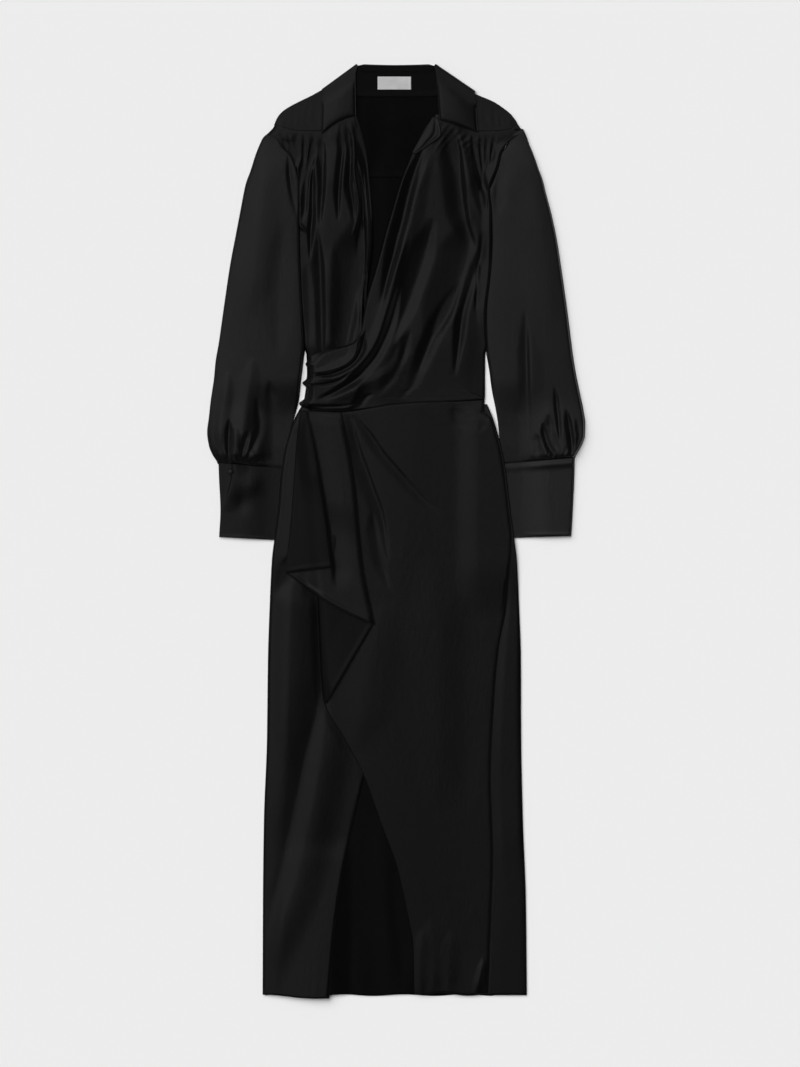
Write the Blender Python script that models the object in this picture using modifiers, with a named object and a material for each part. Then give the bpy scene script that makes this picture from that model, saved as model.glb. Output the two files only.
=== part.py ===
"""A long-sleeved satin wrap dress, laid out flat on its back, its panels lying on each other.

Each piece that a maker would cut is one object: an open sheet, moved into place section by section,
with its wall added by Solidify. The tables are in millimetres. X runs across the dress, Y from hem
to collar and Z up from the surface that it lies on. Left and right are those of someone who looks
down on it. The origin is at the middle of its outline, on that surface.
"""

import bisect
import math

import bmesh
import bpy
from mathutils import Vector

MM = 0.001

# Driving dimensions, in millimetres
WALL = 1.2  # the cloth
SEAM_GAP = 0.3  # between pieces that are sewn together
LAYER = WALL + 0.5  # from one laid panel's middle to the next
GROUND = WALL / 2  # middle of the cloth that lies on the surface
WAIST = 190.5  # the back waist seam
BACK_INSET = 3.5  # the fronts turn down outside the back panels by this much
CUFF_INNER = 155  # half the distance between the cuffs, which the hips cover
CUFF_TOP = 2.2  # middle of a cuff's upper wall
CUFF_LIFT = 3.4  # how far the hips ride up over the cuffs
COLLAR_FALL_Y = 628  # lower edge of the collar behind the neck
BUTTON_DIAMETER = 10.5
NECK_COLUMNS = 12  # the collar stand and the back yoke meet along a curve
HIP_COLUMNS = (14, 27, 42, 60, 82)  # distances of the skirt's first columns from its sides
LABEL = (52, 21, 0.6)

SATIN = (0.012, 0.012, 0.013)
CREPE = (0.017, 0.017, 0.018)
LABEL_WHITE = (0.72, 0.72, 0.70)

# Outline of the skirt: y, left x, right x
SKIRT_SIDES = (
    (192, -139, 136),
    (169.5, -151.5, 145.5),
    (145.5, -160, 153),
    (114, -168, 161),
    (78, -173, 166.5),
    (39, -176, 171),
    (-13.5, -182.5, 178),
    (-43.5, -186, 181.5),
    (-103.5, -189, 184.5),
    (-193.5, -192, 187.5),
    (-313.5, -193.5, 188),
    (-433.5, -198, 190.5),
    (-553.5, -199.5, 195),
    (-696, -200, 196.5),
)

# Rows of the skirt: height at the right side, and at the left edge of the over-skirt
SKIRT_ROWS = (
    (190.2, 180.2),
    (180, 168),
    (168, 154),
    (155, 138),
    (130, 112),
    (98, 76),
    (62, 30),
    (26, -20),
    (-6, -68),
    (-24, -112),
    (-42, -160),
    (-60, -210),
    (-105, -258),
    (-160, -310),
    (-215, -366),
    (-270, -405),
    (-320, -440),
    (-366, -475),
    (-410, -505.5),
    (-455, -540),
    (-500, -567.5),
    (-540, -596),
    (-575, -626),
    (-610, -648),
    (-640, -665),
    (-668, -680),
    (-696, -693),
)

# Right side seam of the skirt, which the back wraps round to meet: y, x
SIDE_SEAM = (
    (201, 132.5),
    (180, 132.5),
    (168, 142.5),
    (145.5, 149.5),
    (114, 157.5),
    (78, 163),
    (39, 167.5),
    (-13.5, 173),
    (-66, 169.5),
    (-121.5, 163.5),
    (-178.5, 152.5),
    (-250.5, 146),
    (-371.5, 140.5),
    (-488.5, 144),
    (-592, 140.5),
    (-696, 136),
)

# Front waist seam, from the left side to the right: x, y
FRONT_WAIST = (
    (-145, 180.5),
    (-121.5, 180),
    (-99, 179),
    (-76.5, 179.5),
    (-54, 182.5),
    (-25.5, 187.5),
    (-6, 190.5),
    (36, 194),
    (90, 196),
    (136, 199),
)

# Sections of the panels: left x, left y, right x, right y, dip of the middle
BACK_BODICE = (
    (-139, 531.8, 139.5, 531.8, 0),
    (-138, 508, 132, 508, 0),
    (-139, 478.5, 135, 478.5, 0),
    (-137.5, 399, 134, 399, 0),
    (-133.5, 327, 127, 327, 0),
    (-130.5, 271.5, 129, 271.5, 0),
    (-129.5, 234, 129, 234, 0),
    (-133.5, WAIST + SEAM_GAP, 128.5, WAIST + SEAM_GAP, 0),
)
BACK_YOKE = (
    (-76.5, 675.7, 76.5, 675.7, 24),
    (-105, 655, 108, 655, 16),
    (-144, 636, 142, 636, 8),
    (-170, 613, 169, 613, 3),
    (-185, 593.5, 178, 597, 0),
    (-172, 584, 156, 581, 0),
    (-160, 573, 149, 566, 0),
    (-148, 556, 145, 548, 0),
    (-139.3, 532.6, 139.8, 532.6, 0),
)
COLLAR_STAND = (
    (-52, 698.8, 53.5, 698.8, 1.3),
    (-65, 688.5, 66.5, 688.5, 13),
    (-76.5, 676.4, 76.5, 676.4, 24),
)
LEFT_YOKE = ((-180, 619, -70.5, 682.5, -4), (-181, 609, -70.5, 611, 0))
RIGHT_YOKE = ((73.5, 682.5, 180, 620, -4), (73.5, 612, 181, 611.5, 0))
# Shoulder seam over each front yoke, and the gather seam under it: x, y
LEFT_SHOULDER = (
    (-181, 617),
    (-175.5, 625),
    (-166.5, 633.5),
    (-153, 642.5),
    (-135, 651),
    (-112, 656),
    (-96, 664),
    (-70.5, 680),
)
RIGHT_SHOULDER = (
    (73.5, 679),
    (100, 664),
    (116, 653.5),
    (132, 650.5),
    (150, 642),
    (165, 633.5),
    (174, 625),
    (181, 617),
)
LEFT_YOKE_SEAM = ((-193, 607.5), (-182, 607.5), (-150, 600), (-112, 597.5), (-85, 604), (-58, 619))
RIGHT_YOKE_SEAM = ((61, 622), (90, 604), (118, 597.5), (150, 602), (182, 609), (190, 609))
UNDER_BODICE = (
    (-181.5, 607.5, -58.5, 619.5, 0),
    (-192.5, 593.5, -52.5, 601.5, 0),
    (-181, 587, -48, 586.5, 0),
    (-169, 578, -44, 568.5, 0),
    (-157, 566, -41, 549, 0),
    (-145.5, 541, -39, 526.5, 0),
    (-142.5, 520.5, -37, 504, 0),
    (-143, 475.5, -34.5, 459, 0),
    (-142.5, 444, -34.5, 432, 0),
    (-141.5, 402, -38, 397.5, 0),
    (-139, 352.5, -43, 352.5, 0),
    (-134.5, 271.5, -45, 271.5, 0),
    (-133.5, 234, -45, 234, 0),
    (-138.5, WAIST + SEAM_GAP, -45, WAIST + SEAM_GAP, 0),
)
# The over-front's sections fan out from the shoulder to the left side of the waist
OVER_BODICE = (
    (61.5, 622.5, 181.5, 609, 0),
    (45, 604.5, 187, 599.5, 0),
    (33, 583.5, 165, 584, 0),
    (19.5, 556.5, 154, 567, 0),
    (6, 522, 149.5, 547.5, 0),
    (-6, 481.5, 136, 508.5, 0),
    (-15, 451.5, 139.5, 478.5, 0),
    (-30, 396, 138.5, 399, 0),
    (-45, 345, 131.5, 327, 0),
    (-55.5, 294, 133.5, 271.5, 0),
    (-66, 282, 133, 199.5, 0),
    (-76.5, 277.5, 66, 195, 0),
    (-91.5, 274, -6, 192, 0),
    (-106.5, 271, -54, 181.5, 0),
    (-120, 265.5, -99, 178.5, 0),
    (-132, 259.5, -137, 180.5, 0),
)
WAIST_FROM = 10 / 15  # below this row its right ends run along the waist seam
NECK_FACING = (
    (55, 621, 63, 618.5, 0),
    (46, 604.5, 68, 594.5, 0),
    (33.5, 583.5, 50.5, 579.5, 0),
    (24, 566.5, 28.5, 565, 0),
)
LEFT_SLEEVE = (
    (-200, 589, -189, 587, 0),
    (-202, 585, -180, 583.5, 0),
    (-205, 577.5, -170.5, 576, 0),
    (-210, 565, -158.5, 564, 0),
    (-218, 540, -147.5, 539, 0),
    (-225, 520.5, -144, 520.5, 0),
    (-234, 475.5, -144.5, 475.5, 0),
    (-240, 444, -144, 444, 0),
    (-248, 402, -143, 402, 0),
    (-255.5, 352.5, -140.5, 352.5, 0),
    (-266, 279, -136.8, 279, 0),
    (-270, 256.5, -139, 256.5, 0),
    (-273, 226.5, -142.5, 226.5, 0),
    (-277.5, 196.5, -146, 196.5, 0),
    (-280.5, 169.5, -153, 169.5, 0),
    (-283, 148.5, -158.5, 145.5, 0),
    (-280.5, 129, -160.5, 126, 0),
    (-274.5, 114, -160.5, 108, 0),
    (-267, 103, -157.5, 94, 0),
)
RIGHT_SLEEVE = (
    (184.5, 593, 193.5, 596, 0),
    (173.5, 586.5, 196.5, 588.5, 0),
    (167.5, 580, 199.5, 580, 0),
    (157, 565.5, 205.5, 565.5, 0),
    (152.5, 546, 213, 544.5, 0),
    (144, 523.5, 220, 525, 0),
    (138.5, 508.5, 224, 508.5, 0),
    (141.5, 478.5, 232, 478.5, 0),
    (142.5, 436.5, 241, 436.5, 0),
    (140.5, 397.5, 247, 397.5, 0),
    (133.5, 327, 257, 327, 0),
    (135.5, 271.5, 264, 271.5, 0),
    (140, 241.5, 268.5, 241.5, 0),
    (144, 211.5, 274.5, 211.5, 0),
    (150, 181.5, 280.5, 183, 0),
    (153.5, 159, 283.5, 162, 0),
    (155, 141, 283, 144, 0),
    (156, 124.5, 277.5, 127.5, 0),
    (157, 111, 271.5, 117, 0),
    (157, 101, 268, 111, 0),
)
LEFT_CUFF = (
    (-266, 102.5, -CUFF_INNER, 92.5, 0),
    (-265, 76.5, -CUFF_INNER, 72.5, 0),
    (-263, 31.5, -CUFF_INNER, 28.5, 0),
    (-265, -9, -CUFF_INNER, -15, 0),
)
RIGHT_CUFF = (
    (CUFF_INNER, 100.5, 268, 110.5, 0),
    (CUFF_INNER, 76.5, 267, 82, 0),
    (CUFF_INNER, 31.5, 265, 34.5, 0),
    (CUFF_INNER, -11, 262.5, -7.5, 0),
)

# The under-skirt's free edge: y, x
UNDER_SKIRT_EDGE = (
    (192, 28.5),
    (78, 18),
    (-13.5, 9),
    (-103.5, -4.5),
    (-193.5, -19.5),
    (-313.5, -40),
    (-366, -48.5),
    (-468, -71.5),
    (-591, -90.5),
    (-702, -100.5),
)
UNDER_SKIRT_DIP = 5  # its hem hangs lower at the free edge by this much

# The collar's front falls and the part behind the neck: inner x, y, outer x, y, height
LEFT_FALL = (
    (-60.5, 623, -112.5, 595.5, 8.2),
    (-59, 646.5, -112, 616.5, 7.4),
    (-58, 669, -111.5, 637.5, 6.8),
    (-57.7, 688, -111.2, 652, 6.4),
)
LEFT_ROLL_LINE = ((-57.5, 700), (-111, 662))
COLLAR_BEHIND = (
    (-48, 700, -98, 650, GROUND),
    (-25, 699.2, -55, 635, GROUND),
    (0, 698.8, 0, COLLAR_FALL_Y, GROUND),
    (26, 699.2, 58, 635, GROUND),
    (49, 700, 102, 650, GROUND),
)
RIGHT_ROLL_LINE = ((59, 700), (119, 659))
RIGHT_FALL = (
    (59.8, 688, 119.8, 648, 6.4),
    (61.5, 669, 121, 634, 6.8),
    (63, 646.5, 122, 616.5, 7.4),
    (65, 617, 123.5, 598, 8.2),
)

# The over-skirt's left edge, down the cascade's first fold and then the free edge: y, x
OVER_SKIRT_EDGE = (
    (180.5, -139.5),
    (76.5, -132),
    (-13.5, -124.5),
    (-109.5, -117),
    (-168, -114.5),
    (-225, -111.5),
    (-258, -107.5),
    (-310.5, -78),
    (-366, -48.5),
    (-440, -21.5),
    (-505.5, 2.5),
    (-567.5, 16.5),
    (-626, 26.5),
    (-693, 27.5),
)
# The cascade's other folds and its free end, from the waist down: x, y
SECOND_FOLD = ((-82, 177.8), (-72.5, 135), (-62, 74), (-56, 13.5), (-49, -55.5), (-32, -140))
THIRD_FOLD = ((-143, 180.4), (-148.5, 136.5), (-153, 76.5), (-157.5, 13.5), (-166, -63))
CASCADE_END = ((-134, 180.2), (-131, 166.5), (-120, 111), (-114, 74), (-103.5, 5), (-96, -54))
FOLD_ROWS = 12  # rows of the skirt down to the end of the first fold
TIGHT_FOLD = 2.2  # height of one fold at the waist
LOOSE_FOLD = 4.2  # and at its lower end

# Folds: start x, y, end x, y, bow, width on the left, on the right, height
UNDER_BODICE_FOLDS = (
    (-135, 570, -133, 440, -3, 7, 6, 5),
    (-97, 590, -95, 330, 4, 12, 11, 6),
    (-66, 560, -55, 452, 0, 8, 7, 5),
    (-58, 440, -68, 290, 0, 9, 8, 6),
    (-122, 420, -122, 240, 0, 9, 8, 4),
)
OVER_BODICE_FOLDS = (
    (10, 532, -38, 350, -10, 10, 11, 5),
    (46, 520, -12, 330, -22, 13, 12, 6),
    (80, 560, 44, 380, -14, 13, 12, 6),
    (66, 370, 20, 240, -12, 14, 12, 6),
    (112, 560, 100, 400, -8, 11, 10, 5),
    (118, 390, 98, 250, -8, 11, 9, 5),
)
UNDER_SKIRT_FOLDS = (
    (-120, -270, -190, -640, -14, 14, 16, 3.5),
    (-176, -80, -170, -330, 0, 10, 22, 3.5),
    (-150, -420, -168, -690, 0, 14, 14, 2.5),
)
OVER_SKIRT_FOLDS = (
    (-62, 172, -8, -30, 14, 15, 10, 4),
    (-50, 174, 62, 22, 14, 17, 11, 4.5),
    (70, 172, 128, 168, -6, 18, 14, 2.5),
    (-40, -120, -60, -330, 0, 18, 22, 3),
    (40, -60, 60, -420, 20, 30, 36, 2.5),
    (126, -150, 118, -520, 0, 14, 12, 3),
    (118, -560, 108, -690, 0, 12, 10, 3),
    (60, -450, 72, -690, 0, 18, 18, 2),
)
LEFT_SLEEVE_FOLDS = ((-212, 260, -226, 140, 0, 13, 10, 4), (-180, 470, -190, 300, 0, 16, 14, 3))
RIGHT_SLEEVE_FOLDS = ((206, 320, 203, 150, 2, 12, 10, 4), (250, 250, 240, 140, -4, 12, 10, 4))
WAIST_PLEATS = 5  # of the over-front, gathered to the left side of the waist
WAIST_PLEAT_HEIGHT = 8.5
SIDE_SHARE = 0.02  # width of a bodice front's narrow side column
SHOULDER_GATHER_HEIGHT = 3.6
CUFF_GATHER_HEIGHT = 4.5

DRESS = bpy.data.collections.new("wrap_dress")


def clear_scene():
    for obj in list(bpy.data.objects):
        bpy.data.objects.remove(obj, do_unlink=True)
    bpy.context.scene.collection.children.link(DRESS)


def eased(t):
    """0 to 1, with no corner at either end."""
    t = min(max(t, 0.0), 1.0)
    return t * t * (3 - 2 * t)


def smooth_value(knots, values, at):
    """A smooth curve through the values at rising knots, which never overshoots them."""
    at = min(max(at, knots[0]), knots[-1])
    i = min(max(bisect.bisect_right(knots, at) - 1, 0), len(knots) - 2)
    steps = [(values[k + 1] - values[k]) / (knots[k + 1] - knots[k]) for k in range(len(knots) - 1)]

    def slope(k):
        before, after = steps[max(k - 1, 0)], steps[min(k, len(steps) - 1)]
        return 2 * before * after / (before + after) if before * after > 0 else 0.0

    width = knots[i + 1] - knots[i]
    t = (at - knots[i]) / width
    rise = eased(t)
    start = t * (1 - t) ** 2 * width * slope(i)
    end = t * t * (t - 1) * width * slope(i + 1)
    return values[i] + (values[i + 1] - values[i]) * rise + start + end


def row_at(rows, t):
    """The table's columns at t: 0 is its first row and 1 its last."""
    knots = range(len(rows))
    return [smooth_value(knots, column, t * (len(rows) - 1)) for column in zip(*rows)]


def at_height(rows, y):
    """The columns after y of a table whose first column is y, from the top down."""
    knots = [-row[0] for row in rows]
    return [smooth_value(knots, column, -y) for column in list(zip(*rows))[1:]]


def along_seam(seam, x):
    """Height y of a seam whose table is x, y."""
    return smooth_value([row[0] for row in seam], [row[1] for row in seam], x)


def relief(folds, x, y):
    """Height of the drawn folds at a place. Each is a ridge with its own slope on either side."""
    height = 0.0
    for x0, y0, x1, y1, bow, left, right, rise in folds:
        dx, dy = x1 - x0, y1 - y0
        length = math.hypot(dx, dy)
        along = ((x - x0) * dx + (y - y0) * dy) / length**2
        if -0.12 < along < 1.12:
            across = ((y - y0) * dx - (x - x0) * dy) / length + bow * 4 * along * (1 - along)
            fade = eased((along + 0.12) / 0.3) * eased((1.12 - along) / 0.3)
            height += rise * fade * math.exp(-((across / (right if across > 0 else left)) ** 2))
    return height


def gathers(count, t, v, reach, height):
    """Small even folds across a panel at t, which start flat at v = 0 and die out at reach."""
    along = eased(5 * v / reach) * (1 - eased(v / reach))
    return height * math.sin(math.pi * count * t) ** 2 * along


def bed(x, y, above=0):
    """How far cloth is lifted by the collar behind the neck and the cuffs under the hips."""
    over_collar = LAYER * eased((y - COLLAR_FALL_Y + 20 + 6 * above) / 14)
    inward = eased((abs(x) - CUFF_INNER + 46 + 11 * above) / 38)
    along = eased((y + 80 + 13 * above) / 56) * eased((191 + 3 * above - y) / 34)
    return over_collar + CUFF_LIFT * inward * along


def side_drop(distance, full, edge):
    """Height near a side: from edge at the outline to full a few millimetres in."""
    return edge + (full - edge) * min(distance / 3.0, 1.0)


def spaced(count, width, left, right):
    """Places 0 to 1 across a panel, with a narrow first and last column where those are given."""
    first = [0.0] + ([left / width] if left else [])
    last = ([1 - right / width] if right else []) + [1.0]
    inner = count + 2 - len(first) - len(last)
    start, end = first[-1], last[0]
    return first + [start + (end - start) * k / inner for k in range(1, inner)] + last


def satin(name, colour, roughness):
    material = bpy.data.materials.new(name)
    material.use_nodes = True
    shader = material.node_tree.nodes["Principled BSDF"]
    shader.inputs["Base Color"].default_value = (*colour, 1)
    shader.inputs["Roughness"].default_value = roughness
    shader.inputs["Metallic"].default_value = 0
    material.diffuse_color = (*colour, 1)
    return material


def finish(name, mesh, colour=SATIN, roughness=0.42, wall=None):
    """The object of a mesh in millimetres, with its wall where it is an open sheet."""
    bmesh.ops.scale(mesh, vec=Vector((MM, MM, MM)), verts=mesh.verts)
    data = bpy.data.meshes.new(name)
    mesh.to_mesh(data)
    mesh.free()
    data.shade_smooth()
    obj = bpy.data.objects.new(name, data)
    obj.data.materials.append(satin(name + "_finish", colour, roughness))
    DRESS.objects.link(obj)
    if wall:
        cloth = obj.modifiers.new("Wall", "SOLIDIFY")
        cloth.thickness = wall * MM
        cloth.offset = 0
    return obj


def add_sheet(mesh, columns, rows, place):
    """Adds an open grid to the mesh and moves corner (column, row) to place(column, row)."""
    grid = bmesh.ops.create_grid(mesh, x_segments=columns, y_segments=rows, size=0.5)
    for vert in grid["verts"]:
        vert.co = place(round((vert.co.x + 0.5) * columns), round((0.5 - vert.co.y) * rows))


def across_section(section, u):
    left_x, left_y, right_x, right_y, dip = section
    x = left_x + (right_x - left_x) * u
    return x, left_y + (right_y - left_y) * u - dip * (1 - (2 * u - 1) ** 4)


def panel(name, sections, across, rows, height, top=None, bottom=None, warp=None, **look):
    """A sheet through its sections. across lists the places 0 to 1 of its columns.

    top and bottom give the height y of a seam at x, which the panel's end is moved to. warp moves
    the columns along their rows.
    """
    mesh = bmesh.new()

    def place(column, row):
        u, v = across[column], row / rows
        if warp:
            u = warp(u, v)
        section = row_at(sections, v)
        x, y = across_section(section, u)
        for seam, end, share in ((top, sections[0], 1 - v / 0.3), (bottom, sections[-1], v)):
            if seam and share > 0:
                end_x, end_y = across_section(end, u)
                y += (seam(end_x) - end_y) * share
        return Vector((x, y, height(x, y, u, v, section[2] - section[0])))

    add_sheet(mesh, len(across) - 1, rows, place)
    return finish(name, mesh, wall=look.pop("wall", WALL), **look)


# ---- Back ----------------------------------------------------------------------------------


def back_height(x, y, u, v, width):
    return GROUND + bed(x, y)


def make_back():
    panel("back_bodice", BACK_BODICE, spaced(8, 280, 0, 0), 9, back_height)
    panel("back_yoke", BACK_YOKE, spaced(NECK_COLUMNS, 280, 0, 0), 14, back_height)
    make_back_skirt()


def make_back_skirt():
    """The back lies flat, turns up at its right side and comes round to the front side seam."""
    mesh = bmesh.new()
    turn, wrap = 4, 3
    flat = 2 * len(HIP_COLUMNS) + 1
    radius = LAYER / 2

    def place(column, row):
        y = SKIRT_ROWS[row][0]
        left, right = at_height(SKIRT_SIDES, y)
        (seam,) = at_height(SIDE_SEAM, y)
        centre = right - WALL / 2 - radius
        if column <= flat:
            from_left = ((BACK_INSET,) + HIP_COLUMNS)[min(column, len(HIP_COLUMNS))]
            from_right = ((0,) + HIP_COLUMNS)[min(flat - column, len(HIP_COLUMNS))]
            x = left + from_left if column <= len(HIP_COLUMNS) else centre - from_right
            return Vector((x, y, GROUND + bed(x, y)))
        if column <= flat + turn:
            angle = math.pi * (column - flat) / turn
            rise = radius * (1 - math.cos(angle))
            return Vector((centre + radius * math.sin(angle), y, GROUND + bed(right, y) + rise))
        x = centre + (seam + SEAM_GAP - centre) * (column - flat - turn) / wrap
        return Vector((x, y, GROUND + 2 * radius + bed(x, y, 1)))

    add_sheet(mesh, flat + turn + wrap, len(SKIRT_ROWS) - 1, place)
    finish("back_skirt", mesh, wall=WALL)


# ---- Fronts --------------------------------------------------------------------------------


def yoke_height(x, y, u, v, width):
    return GROUND + LAYER + bed(x, y, 1)


def under_bodice_height(x, y, u, v, width):
    full = GROUND + LAYER + bed(x, y, 1)
    from_side = u * width
    clear_of_sides = eased((from_side - 3) / 8) * eased((-46 - x) / 6 + 0.4)
    folds = relief(UNDER_BODICE_FOLDS, x, y) * eased((y - 288) / 24)
    folds += gathers(7, (u - SIDE_SHARE) / (1 - SIDE_SHARE), v, 0.3, SHOULDER_GATHER_HEIGHT)
    return side_drop(from_side, full, 0.95) + folds * clear_of_sides


def over_bodice_height(x, y, u, v, width):
    """It lies on the back at the right and on the under-front at the left."""
    over_front = LAYER * eased((-8 - x) / 16)
    full = GROUND + LAYER + bed(x, y, 2) + over_front
    from_side = (1 - u) * width
    clear_of_side = 1.0 if v > WAIST_FROM else eased((from_side - 3) / 8)
    folds = relief(OVER_BODICE_FOLDS, x, y) * (1 - eased((v - 0.5) / 0.2))
    clear_of_facing = eased((u - 0.3) / 0.1)
    folds += gathers(10, u / (1 - SIDE_SHARE), v, 0.3, SHOULDER_GATHER_HEIGHT) * clear_of_facing
    pleat = math.sin(math.pi * WAIST_PLEATS * pleat_place(u, v)) ** 2
    folds += WAIST_PLEAT_HEIGHT * pleat * eased((v - 0.5) / 0.4) * (1 - 0.5 * eased((v - 0.9) / 0.1))
    low = 0.95 + (full - 0.95) * (1 - eased((y - 206) / 30))
    base = full if v > WAIST_FROM else side_drop(from_side, full, low)
    return base + folds * clear_of_side


def pleat_spread(v):
    """Columns of the over-front crowd towards its neckline where its pleats begin."""
    return 1 + 1.2 * eased((v - 0.25) / 0.3) * (1 - 0.85 * eased((v - 0.62) / 0.38))


def pleat_place(u, v):
    return u ** (1 / pleat_spread(v))


def over_bodice_across(t, v):
    """Place 0 to 1 along row v of column t. The columns follow the pleats."""
    near_side = eased((t - 0.8) / 0.17)
    return t ** pleat_spread(v) * (1 - near_side) + t * near_side


def facing_height(x, y, u, v, width):
    return over_bodice_height(x, y, 0.2, 0.1, 120) + LAYER + 0.3 + 1.2 * u


def make_fronts():
    for side, yoke, shoulder, seam in (
        ("left", LEFT_YOKE, LEFT_SHOULDER, LEFT_YOKE_SEAM),
        ("right", RIGHT_YOKE, RIGHT_SHOULDER, RIGHT_YOKE_SEAM),
    ):
        panel(
            f"front_yoke_{side}",
            yoke,
            spaced(10, 110, 0, 0),
            4,
            yoke_height,
            top=lambda x, shoulder=shoulder: along_seam(shoulder, x),
            bottom=lambda x, seam=seam: along_seam(seam, x) + 2 * SEAM_GAP,
        )
    panel(
        "under_bodice",
        UNDER_BODICE,
        spaced(15, 1, SIDE_SHARE, 0),
        24,
        under_bodice_height,
        top=lambda x: along_seam(LEFT_YOKE_SEAM, x),
    )
    rows = 27
    over_bodice = [row_at(OVER_BODICE, k / rows) for k in range(rows + 1)]
    for section in over_bodice[round(WAIST_FROM * rows) :]:
        section[3] = along_seam(FRONT_WAIST, section[2]) + SEAM_GAP
    panel(
        "over_bodice",
        over_bodice,
        spaced(21, 1, 0, SIDE_SHARE),
        rows,
        over_bodice_height,
        top=lambda x: along_seam(RIGHT_YOKE_SEAM, x),
        warp=over_bodice_across,
    )
    panel("neck_facing", NECK_FACING, spaced(4, 20, 0, 0), 5, facing_height, colour=CREPE)


# ---- Skirt fronts --------------------------------------------------------------------------


def under_skirt_edge(y):
    return at_height(UNDER_SKIRT_EDGE, y)[0]


def make_under_skirt():
    mesh = bmesh.new()
    offsets = (0, 3) + HIP_COLUMNS
    columns = len(offsets) + 4

    def place(column, row):
        y = SKIRT_ROWS[row][0]
        left, _ = at_height(SKIRT_SIDES, y)
        offset = offsets[min(column, len(offsets) - 1)]
        x = left + offset
        if column >= len(offsets):
            x += (under_skirt_edge(y) - x) * (column - len(offsets) + 1) / (columns - len(offsets) + 1)
        if row == 0:
            y -= 4 * eased((x + 60) / 30)
        if row == len(SKIRT_ROWS) - 1:
            y -= UNDER_SKIRT_DIP * column / columns
        full = GROUND + LAYER + bed(x, y, 1)
        clear_of_top = eased((offset - 4) / 12) * eased((-112 - x) / 10 + 0.3)
        folds = relief(UNDER_SKIRT_FOLDS, x, y) * clear_of_top
        return Vector((x, y, side_drop(offset, full, GROUND + 0.15 + bed(x, y)) + folds))

    add_sheet(mesh, columns, len(SKIRT_ROWS) - 1, place)
    finish("under_skirt", mesh, wall=WALL)


def over_skirt_height(x, y):
    over_front = LAYER * eased((under_skirt_edge(y) + 24 - x) / 18)
    (seam,) = at_height(SIDE_SEAM, y)
    left_clear = eased((x + 112) / 14)
    folds = relief(OVER_SKIRT_FOLDS, x, y) * eased((seam - x) / 14) * left_clear
    hips = bed(x, y, 2 if over_front > 0 else 1)
    return GROUND + LAYER + hips + over_front + folds


def over_skirt_place(u, row):
    """A place on the over-skirt's panel, whose top row lies along the waist seam."""
    right_y, left_y = SKIRT_ROWS[row]
    (left_x,) = at_height(OVER_SKIRT_EDGE, left_y)
    (right_x,) = at_height(SIDE_SEAM, right_y)
    x = left_x + (right_x - left_x) * u
    y = left_y + (right_y - left_y) * u
    to_waist = along_seam(FRONT_WAIST, x) - 2 * SEAM_GAP - y
    if row == 0:
        y += to_waist
    elif row < 4:
        first = over_skirt_place(u, 0)
        straight = SKIRT_ROWS[0][1] + (SKIRT_ROWS[0][0] - SKIRT_ROWS[0][1]) * u
        y += (first.y - straight) * (1 - row / 4) * (1 - u**4)
    return Vector((x, y, over_skirt_height(x, y)))


def make_over_skirt():
    """The panel, then the cascade: its free corner folded over three times beside the waist."""
    mesh = bmesh.new()
    across = spaced(12, 280, 0, 0)
    across = across[:-1] + [1 - 40 / 280, 1 - 24 / 280, 1 - 8 / 280, 1.0]
    across = sorted(set(across))

    def place_panel(column, row):
        return over_skirt_place(across[column], row)

    add_sheet(mesh, len(across) - 1, len(SKIRT_ROWS) - 1, place_panel)
    path = [cascade_row(row) for row in range(FOLD_ROWS + 1)]

    def place_cascade(column, row):
        # The last column is the panel's own left edge.
        return path[row][len(path[row]) - 1 - column]

    add_sheet(mesh, len(path[0]) - 1, FOLD_ROWS, place_cascade)
    bmesh.ops.remove_doubles(mesh, verts=mesh.verts, dist=0.01)
    finish("over_skirt", mesh, wall=WALL)


def turn_over(at, y, low, high, side):
    """Points round a fold at x = at, from its lower layer to its upper one, bulging to side."""
    radius = (high - low) / 2
    points = []
    for step in range(5):
        angle = math.pi * step / 4
        out = at + side * radius * (math.sin(angle) - 1)
        points.append(Vector((out, y, low + radius * (1 - math.cos(angle)))))
    return points


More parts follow.
